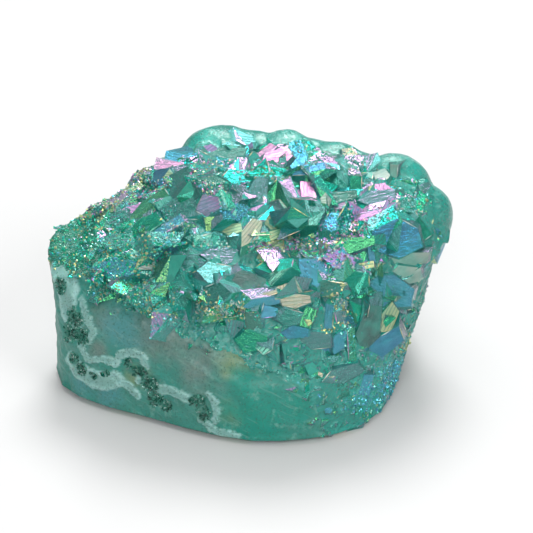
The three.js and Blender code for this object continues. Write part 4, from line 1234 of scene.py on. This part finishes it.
def facet_finishes(centre, area, labels):
    """A finish number, a body colour and a repeatable key for each facet. Slow drifts over the
    cluster choose from the body colours, a few facets take a lively film, and patches of glints
    come over that."""
    count = labels.max() + 1
    weight = np.bincount(labels, area, count)
    middle = np.stack([np.bincount(labels, area * centre[:, k], count) for k in range(3)], 1)
    middle = middle / np.maximum(weight, 1e-9)[:, None]
    key = np.round(middle * 4)
    drift = 0.5 + 0.42 * layered_noise(middle, 9.0, 91) + 0.45 * (lattice_value(key, 101) - 0.5)
    body_range = finish_numbers(BODY_RANGE)
    finish = body_range[np.clip(drift * len(body_range), 0, len(body_range) - 1).astype(int)]
    lively = lattice_value(key, 102) < ACCENT_SHARE
    finish[lively] = pick(finish_numbers(ACCENTS), lattice_value(key, 103)[lively])
    for number, (x, y, z, radius, name, share) in enumerate(GLINT_PATCHES):
        near = np.linalg.norm(middle - (x, y, z), axis=1) < radius
        finish[near & (lattice_value(key, 110 + number) < 0.55 * share)] = FINISHES.index(name)
    palette = np.array([BODY_COLOURS[name] for name in FINISHES])
    colour = palette[finish] * (0.7 + 0.5 * lattice_value(key, 141))[:, None]
    colour *= 0.94 + 0.12 * np.stack([lattice_value(key, 150 + k) for k in range(3)], 1)
    return finish, np.clip(colour, 0, 1), key


def facet_axes(normals, labels, key):
    """Each face's own flat axes: the facet's mean normal crossed with a repeatable direction."""
    count = labels.max() + 1
    mean = rows_unit(np.stack([np.bincount(labels, normals[:, k], count) for k in range(3)], 1))
    rough = np.stack([lattice_value(key, 160 + k) for k in range(3)], 1) * 2 - 1
    across = rows_unit(np.cross(mean, rows_unit(rough)))
    return across[labels], np.cross(mean, across)[labels]


def main_axes(normals, which):
    """Flat axes of the main faces: across runs along each one's length."""
    right, up, _ = view_axes()
    turn = np.radians([row[5] for row in MAIN_FACES])[which]
    way = np.cos(turn)[:, None] * right + np.sin(turn)[:, None] * up
    across = rows_unit(way - (way * normals).sum(1)[:, None] * normals)
    return across, np.cross(normals, across)


def growth_weights(centre, normal):
    """How readily small crystals grow on each face: large ones on the inner crust, middling ones most
    of all low at the front, and fine ones on the left and low down. Then how readily fine ones grow
    in clumps on the back wall, where no others do."""
    x, y, z = centre.T
    lump = lump_distance(centre) < 1.1
    open_crust = (matrix_share(centre) < 0.1) & ~lump & (z > 2)
    back_wall = (y > 6) & (z < 30)
    fine_side = ease(-x, 14, 26) + (1 - ease(z, 27, 31)) * (x < 4)
    fine_side = fine_side + 1.2 * (x > -6) * (z < 17) * (y < 4)
    front_low = (x > -14) & (z < 33) & (y < 4)
    away = np.hypot(x / HALF_LENGTH, y / HALF_WIDTH)
    inner = (x > -24) & ((away < 0.64) | (front_low & (normal @ view_axes()[2] > 0.7)))
    weights = {
        "inner": open_crust * inner,
        "front": open_crust * (0.3 + front_low),
        "fine": open_crust * (0.1 + np.clip(fine_side, 0, 1)) * (x > -34),
    }
    weights = {where: weight * ~back_wall for where, weight in weights.items()}
    return weights, 0.35 * back_clumps(centre) * ~lump


CRYSTAL_SETS = (  # where they grow, cell, tries, least and most radius, peak, tilt and drop
    ("inner", 4.0, 700, 2.0, 3.6, 0.10, 0.28, 0.28),
    ("front", 3.2, 420, 1.2, 2.0, 0.16, 0.35, 0.18),
    ("front", 2.3, 420, 0.7, 1.1, 0.30, 0.50, 0.00),
    ("fine", 1.6, 1600, 0.35, 0.7, 0.40, 0.55, 0.00),
)
SET_KINDS = (0.42, 0.36, 0.22)  # shares of three-faced points, slanting chips and long blades
SET_LEAN = 0.22
FINE_RADIUS = 1  # sets of smaller crystals grow on the back too, and larger ones stay off the outline


def small_crystals(places, faces):
    """The sets of small crystals that fill the spaces between the large ones."""
    centre, normal, _ = face_frames(places, faces)
    weights, clumps = growth_weights(centre, normal)
    seen = faces[normal @ view_axes()[2] > 0]
    sets = []
    for number, (where, cell, tries, low, high, peak, tilt, drop) in enumerate(CRYSTAL_SETS):
        weight = weights[where] + (high < FINE_RADIUS) * clumps
        roots, out = perches(places, faces, weight, cell, tries, 200 + number)
        random = np.random.default_rng(210 + number)
        radius = random.uniform(low, high, len(roots))
        kind = random.choice(3, len(roots), p=SET_KINDS)
        rise = radius * (random.uniform(-0.1, 0.1, len(roots)) - drop)
        points, tris = crystals(roots, out, radius, rise, SET_LEAN, kind, 220 + number, peak=peak, tilt=tilt)
        if high > FINE_RADIUS:
            kept = inside_outline(places, seen, points)
            tris = tris.reshape(len(roots), -1)[kept].reshape(-1, 3)
            roots = roots[kept]
        sets.append((roots, cell, points, tris))
    return sets


def main_crystals(places, faces):
    """The crystals under all the main faces."""
    front = faces[face_frames(places, faces)[1] @ view_axes()[2] > 0]
    return [face_crystal(places, front, number) for number in range(len(MAIN_FACES))]


def soft_shade(centre, on_lump):
    """Body colour of the smooth parts of the crust: teal that clouds, paler on the rim lumps and a
    deep emerald at the left end."""
    cloud = layered_noise(centre, 5.0, 81)
    shade = np.where(on_lump[:, None], LUMP_COLOUR, SOFT_CRUST_COLOUR) * (1 + 0.25 * cloud[:, None])
    left_end = ease(-centre[:, 0], 27, 33)[:, None] * ~on_lump[:, None]
    return shade * (1 - left_end) + left_end * np.array(LEFT_END_COLOUR)


def crust_looks(centre, zone, labels, finish, colour, key):
    """Each face's material number and body colour: matrix, smooth crust and lumps, small facets, main
    faces, and the flanks of the crystals under them, which take a little of their colour."""
    soft = (zone == ZONE_WALL) | (zone == ZONE_BASE)
    in_matrix = soft & (matrix_share(centre) > 0.5)
    on_lump = zone == ZONE_LUMP
    slots = np.where(in_matrix, len(FINISHES), finish[labels])
    body = colour[labels]
    soft_crust = (soft & ~in_matrix) | on_lump
    slots[soft_crust] = FINISHES.index("milky")
    body[soft_crust] = soft_shade(centre, on_lump)[soft_crust]
    count = len(MAIN_FACES)
    tones = 0.04 + 0.75 * np.array([BODY_COLOURS[row[0]] for row in MAIN_FACES])
    tones = tones * np.random.default_rng(907).uniform(0.8, 1.15, (count, 1))
    flank = zone >= ZONE_NAMED + count
    slots[flank] = pick(finish_numbers(BODY_RANGE), lattice_value(key, 143)[labels[flank]])
    shade = 0.75 + 0.45 * lattice_value(key, 142)[labels[flank]][:, None]
    own = tones[zone[flank] - ZONE_NAMED - count]
    body[flank] = shade * (0.3 * own + 0.7 * np.array(BODY_COLOURS["teal"]))
    named = (zone >= ZONE_NAMED) & ~flank
    slots[named] = finish_numbers([row[0] for row in MAIN_FACES])[zone[named] - ZONE_NAMED]
    body[named] = tones[zone[named] - ZONE_NAMED]
    return slots, body


def lay_facet_uv(mesh, places, faces, across, along):
    """Gives each face flat coordinates in millimetres along its facet's own axes."""
    corner = places[faces]
    uv = np.stack([(corner * across[:, None]).sum(2), (corner * along[:, None]).sum(2)], 2)
    mesh.uv_layers.new(name="facet").data.foreach_set("uv", uv.astype(np.float32).ravel())


def stain_vertices(mesh, places):
    """Keeps how strongly each vertex belongs to each of the matrix's bands, clouds and pits."""
    on_matrix = matrix_share(places) > 0
    band, rim, clouds = band_masks(places[on_matrix])
    for name, stain in zip(("band", "rim", *CLOUD_SEEDS), [band, rim] + clouds):
        full = np.zeros(len(places))
        full[on_matrix] = stain
        add_attribute(mesh, name, full)
    add_attribute(mesh, "pit", pit_share(places))


def crystal_piece(name, points, tris, materials, slot):
    """A piece of many small crystals, each left open where its foot is sunk in the crust."""
    open_tris = tris.reshape(len(slot), -1, 3)[:, :OPEN_FACES].reshape(-1, 3)
    return object_from(name, in_box(points) * MM, open_tris, materials, np.repeat(slot, OPEN_FACES))


GRAIN_CELL = 1.5  # of a grain's radius, in each cube of which one grain at most has its root
GRAIN_TRIES = 21800
GRAIN_RANGE = (0.55, 1.1)  # least and most of a grain's usual radius
GRAIN_KINDS = (0.6, 0.4)  # shares of three-faced points and slanting chips
GRAIN_SINK = 0.2
GRAIN_LEAN = 0.6
GRAIN_STEPS = (0.5, 0.68, 0.8, 0.9, 0.95)  # where one grain finish gives way to the next
GLITTER_SIZE = 1.22  # of the other grains' size
GLITTER_SHARE = 0.8  # of a band's grains that take one of its finishes
PIT_CELL = 0.5
PIT_TRIES = 4500
PIT_RANGE = (0.2, 0.42)  # radius of the lining's crystals
PIT_KINDS = (0.7, 0.3)
EDGE_STEPS = (0.55, 0.72, 0.88)  # where one edge finish gives way to the next


def druse_weight(centre, in_band):
    """How readily grains grow on each face: on the left end, along the crust's lower edge, low on the
    right, in patches, in clumps on the back, and thickest in the glitter bands."""
    left = ease(-centre[:, 0], 24, 33) * ease(centre[:, 2], 22, 26)
    angles, heights = np.array(MATRIX_EDGE).T
    over_edge = centre[:, 2] - np.interp(round_angle(centre), angles, heights)
    edge = np.abs(over_edge - 0.6) < 1.4 + 1.2 * value_noise(centre, 3, 83)
    corner = ease(centre[:, 0], 16, 24) * (1 - ease(centre[:, 2], 8, 13)) * (centre[:, 1] < 4)
    patch = np.zeros(len(centre))
    for x, y, z, radius in DRUSE_PATCHES:
        patch = np.maximum(patch, np.linalg.norm(centre - (x, y, z), axis=1) < radius)
    crust = 1 - matrix_share(centre)
    weight = crust * np.maximum.reduce([left, 0.8 * edge, corner, 0.5 * patch, 5.0 * in_band])
    return (weight + 0.3 * back_clumps(centre)) * (lump_distance(centre) > 1.06) * (centre[:, 2] > 1)


SHARP_DEGREES = 22  # an edge that bends more is crisp
RIDGE_FACES = ((0, 3, 2), (0, 4, 3), (0, 5, 4), (0, 2, 5), (1, 2, 3), (1, 3, 4), (1, 4, 5), (1, 5, 2))


def crisp_edges(places, faces):
    """A share of the crust's sharp outward edges: their two ends and the way out between their
    faces."""
    centre, normal, _ = face_frames(places, faces)
    edges, left, right = shared_edges(faces)
    a, b = places[edges[:, 0]], places[edges[:, 1]]
    length = np.linalg.norm(b - a, axis=1)
    turn = (normal[left] * normal[right]).sum(1)
    convex = ((centre[right] - centre[left]) * normal[left]).sum(1) < 0
    middle = (a + b) / 2
    crisp = convex & (turn < math.cos(math.radians(SHARP_DEGREES))) & (length > 0.8)
    crisp &= (matrix_share(middle) < 0.1) & (middle[:, 2] > 2)
    crisp &= lattice_value(np.round(middle * 8), 501) < EDGE_GLINT_SHARE
    return a[crisp], b[crisp], rows_unit(normal[left][crisp] + normal[right][crisp])


def ridges(a, b, out):
    """A thin ridge along each edge from a to b: both ends and a ring of four points round its middle,
    out, to one side, in and to the other."""
    middle = (a + b) / 2
    side = rows_unit(np.cross(b - a, out))
    half = np.clip(0.06 * np.linalg.norm(b - a, axis=1), 0.05, 0.14)[:, None]
    ring = [middle + 0.6 * half * out, middle + half * side, middle - half * out, middle - half * side]
    points = np.stack([a, b] + ring, 1).reshape(-1, 3)
    tris = np.array(RIDGE_FACES)[None] + 6 * np.arange(len(a))[:, None, None]
    return points, tris.reshape(-1, 3)


# ---- Operators -----------------------------------------------------------------------------------------

class CLUSTER_OT_crust(bpy.types.Operator):
    """Makes the crystal crust: the matrix wall and rim lumps refined from the fixed solid, with the
    small crystals that fill the spaces between the large ones grown into it"""
    bl_idname = "cluster.crust"
    bl_label = "Crystal Crust"

    def execute(self, context):
        places, faces = merged_copy(bpy.data.objects[NODE])
        places = places / MM
        zone = skin_zones(places, faces)
        places, faces, zone = grown_together(places, faces, zone, small_crystals(places, faces), [])
        places, faces, zone = grown_together(places, faces, zone, [], main_crystals(places, faces))
        places, faces, zone = dress_skin(places, faces, zone)
        places = in_box(places)
        centre, normal, area = face_frames(places, faces)
        labels = facet_labels(faces, normal)
        finish, colour, key = facet_finishes(centre, area, labels)
        slots, body = crust_looks(centre, zone, labels, finish, colour, key)
        growth, veils = striation_group(), veil_group()
        materials = [crystal_material("aura_" + name, growth, veils, *FINISH_LOOKS[name][1:])
                     for name in FINISHES]
        materials.append(matrix_material("waxy_matrix"))
        piece = object_from("crystal_crust", places * MM, faces, materials, slots)
        mesh = piece.data
        named = (zone >= ZONE_NAMED) & (zone < ZONE_NAMED + len(MAIN_FACES))
        across, along = facet_axes(normal, labels, key)
        across[named], along[named] = main_axes(normal[named], zone[named] - ZONE_NAMED)
        lay_facet_uv(mesh, places, faces, across, along)
        tinted = np.concatenate([body, np.ones((len(body), 1))], 1)
        add_attribute(mesh, "facet_tint", tinted, "FACE", "FLOAT_COLOR")
        striped = (lattice_value(key, 171) < STRIPED_SHARE).astype(float)
        striped[np.isin(finish, finish_numbers(ALWAYS_STRIPED))] = 1
        striped = striped[labels]
        striped[named] = np.isin(slots[named], finish_numbers(ALWAYS_STRIPED))
        add_attribute(mesh, "facet_striped", striped, "FACE")
        add_attribute(mesh, "named", named.astype(float), "FACE")
        stain_vertices(mesh, places)
        mesh.polygons.foreach_set("use_smooth", np.isin(zone, (ZONE_WALL, ZONE_LUMP)))
        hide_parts(NODE)
        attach(piece, "root")
        return {"FINISHED"}


class CLUSTER_OT_druse(bpy.types.Operator):
    """Strews the sugar druse: thousands of grains on the left end, along the crust's edge, in the
    glitter bands, in clumps on the back and on the lower right"""
    bl_idname = "cluster.druse"
    bl_label = "Sugar Druse"

    def execute(self, context):
        places, faces = read_back("crystal_crust")
        centre, normal, _ = face_frames(places, faces)
        back = view_axes()[2]
        in_band = glitter_band(centre, normal @ back) >= 0
        weight = druse_weight(centre, in_band)
        weight = weight * np.where(in_band, 1.0, read_faces("crystal_crust", "named") < 0.5)
        grain = sizes().grain / MM
        roots, out = perches(places, faces, weight, grain * GRAIN_CELL, GRAIN_TRIES, 301)
        random = np.random.default_rng(302)
        radius = grain * random.uniform(*GRAIN_RANGE, len(roots))
        band = glitter_band(roots, out @ back)
        radius = np.where(band >= 0, GLITTER_SIZE, 1.0) * radius
        kind = random.choice(2, len(roots), p=GRAIN_KINDS)
        points, tris = crystals(roots - GRAIN_SINK * out, out, radius, radius * 0.5, GRAIN_LEAN, kind, 303,
                                sink=GRAIN_SINK, flared=False)
        slot = np.searchsorted(GRAIN_STEPS, random.random(len(roots)))
        for number, (_, _, names) in enumerate(GLITTER):
            inside = np.flatnonzero((band == number) & (random.random(len(roots)) < GLITTER_SHARE))
            choice = np.array([GRAIN_FINISHES.index(name) for name in names])
            slot[inside] = choice[random.integers(0, len(names), len(inside))]
        materials = [grain_material("grain_" + name, BODY_COLOURS[name], FILMS[name])
                     for name in GRAIN_FINISHES]
        piece = crystal_piece("druse_grains", points, tris, materials, slot)
        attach(piece, "root")
        return {"FINISHED"}


class CLUSTER_OT_pit_lining(bpy.types.Operator):
    """Lines the matrix pits with dark green crystals"""
    bl_idname = "cluster.pit_lining"
    bl_label = "Pit Lining"

    def execute(self, context):
        places, faces = read_back("crystal_crust")
        centre, _, _ = face_frames(places, faces)
        weight = ease(pit_share(centre), 0.3, 0.7) * (value_noise(centre, 0.9, 45) > -0.25) + 1e-9
        roots, out = perches(places, faces, weight, PIT_CELL, PIT_TRIES, 401)
        random = np.random.default_rng(402)
        radius = random.uniform(*PIT_RANGE, len(roots))
        kind = random.choice(2, len(roots), p=PIT_KINDS)
        points, tris = crystals(roots - 0.1 * out, out, radius, radius * 0.7, GRAIN_LEAN, kind, 403,
                                sink=GRAIN_SINK, flared=False)
        slot = (random.random(len(roots)) > 0.45).astype(int) + (random.random(len(roots)) > 0.8)
        materials = [grain_material("pit_" + name, body, 0) for name, body in PIT_COLOURS.items()]
        piece = crystal_piece("pit_lining", points, tris, materials, slot)
        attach(piece, "root")
        return {"FINISHED"}


class CLUSTER_OT_glints(bpy.types.Operator):
    """Lays thin ridges along the crystals' sharp edges, painted pale as highlights of edges catching the
    light, over the film
    """
    bl_idname = "cluster.glints"
    bl_label = "Bright Edges"

    def execute(self, context):
        places, faces = read_back("crystal_crust")
        a, b, out = crisp_edges(places, faces)
        middle = (a + b) / 2
        points, tris = ridges(a, b, out)
        key = np.round(middle * 4)
        slot = np.searchsorted(EDGE_STEPS, lattice_value(key, 502))
        for number, (x, y, z, radius, name, share) in enumerate(GLINT_PATCHES):
            if name in EDGE_GLINT_FINISHES:
                near = np.linalg.norm(middle - (x, y, z), axis=1) < radius
                slot[near & (lattice_value(key, 510 + number) < share)] = EDGE_GLINT_FINISHES.index(name)
        # Pale colours painted on as highlights of the edges.
        materials = [grain_material("edge_" + name, EDGE_GLINT_COLOURS[name], FILMS[name])
                     for name in EDGE_GLINT_FINISHES]
        slots = np.repeat(slot, len(RIDGE_FACES))
        piece = object_from("bright_edges", in_box(points) * MM, tris, materials, slots)
        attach(piece, "root")
        return {"FINISHED"}


FLOOR_HALF = 1.5  # metres
ROOM_LIGHT = 0.22  # strength of the light that comes from all round


class CLUSTER_OT_stage(bpy.types.Operator):
    """Sets a pale floor, soft studio light and the camera"""
    bl_idname = "cluster.stage"
    bl_label = "Stage"

    def execute(self, context):
        scene = context.scene
        corners = FLOOR_HALF * np.array([(-1, -1, 0), (1, -1, 0), (1, 1, 0), (-1, 1, 0)])
        floor = object_from("floor", corners, np.array([(0, 1, 2, 3)]), [floor_material("pale_floor")])
        world = bpy.data.worlds.new("soft_room")
        world.use_nodes = True
        background = world.node_tree.nodes["Background"]
        background.inputs["Color"].default_value = (0.97, 0.99, 1.0, 1)
        background.inputs["Strength"].default_value = ROOM_LIGHT
        scene.world = world
        for name, place, size, power in STUDIO_LIGHTS:
            lamp = bpy.data.lights.new(name, "AREA")
            lamp.shape = "DISK"
            lamp.size = size
            lamp.energy = power
            piece = bpy.data.objects.new(name, lamp)
            scene.collection.objects.link(piece)
            piece.location = place
            aim = Vector((0, 0, 0.02)) - Vector(place)
            piece.rotation_euler = aim.to_track_quat("-Z", "Y").to_euler()
        camera = bpy.data.cameras.new("camera")
        camera.lens = CAMERA_LENS
        camera.sensor_width = CAMERA_SENSOR
        camera.clip_start = 0.01
        holder = bpy.data.objects.new("camera", camera)
        scene.collection.objects.link(holder)
        tip = math.radians(CAMERA_RISE)
        aim = Vector(CAMERA_AIM) * MM
        holder.location = aim + CAMERA_DISTANCE * MM * Vector((0, -math.cos(tip), math.sin(tip)))
        holder.rotation_euler = (aim - holder.location).to_track_quat("-Z", "Y").to_euler()
        scene.camera = holder
        scene.view_settings.view_transform = "Standard"
        return {"FINISHED"}


class CLUSTER_PT_panel(bpy.types.Panel):
    """Lists the cluster's settings and steps"""
    bl_idname = "CLUSTER_PT_panel"
    bl_label = "Crystal Cluster"
    bl_space_type = "VIEW_3D"
    bl_region_type = "UI"
    bl_category = "Crystal Cluster"

    def draw(self, context):
        for group in (context.scene.cluster_sizes, context.scene.cluster_colours):
            for name in group.__annotations__:
                self.layout.prop(group, name)
        for step in STEPS:
            self.layout.operator(step.bl_idname)


STEPS = (CLUSTER_OT_crust, CLUSTER_OT_druse, CLUSTER_OT_pit_lining, CLUSTER_OT_glints, CLUSTER_OT_stage)
CLASSES = (ClusterColours, ClusterSizes) + STEPS + (CLUSTER_PT_panel,)


def register():
    """Adds the add-on's classes and settings."""
    for kind in CLASSES:
        bpy.utils.register_class(kind)
    bpy.types.Scene.cluster_colours = bpy.props.PointerProperty(type=ClusterColours)
    bpy.types.Scene.cluster_sizes = bpy.props.PointerProperty(type=ClusterSizes)


def unregister():
    """Takes them away again."""
    del bpy.types.Scene.cluster_colours
    del bpy.types.Scene.cluster_sizes
    for kind in reversed(CLASSES):
        bpy.utils.unregister_class(kind)


def main():
    """Makes every piece and the stage."""
    register()
    bpy.ops.cluster.crust()
    bpy.ops.cluster.druse()
    bpy.ops.cluster.pit_lining()
    bpy.ops.cluster.glints()
    bpy.ops.cluster.stage()


if __name__ == "__main__":
    main()
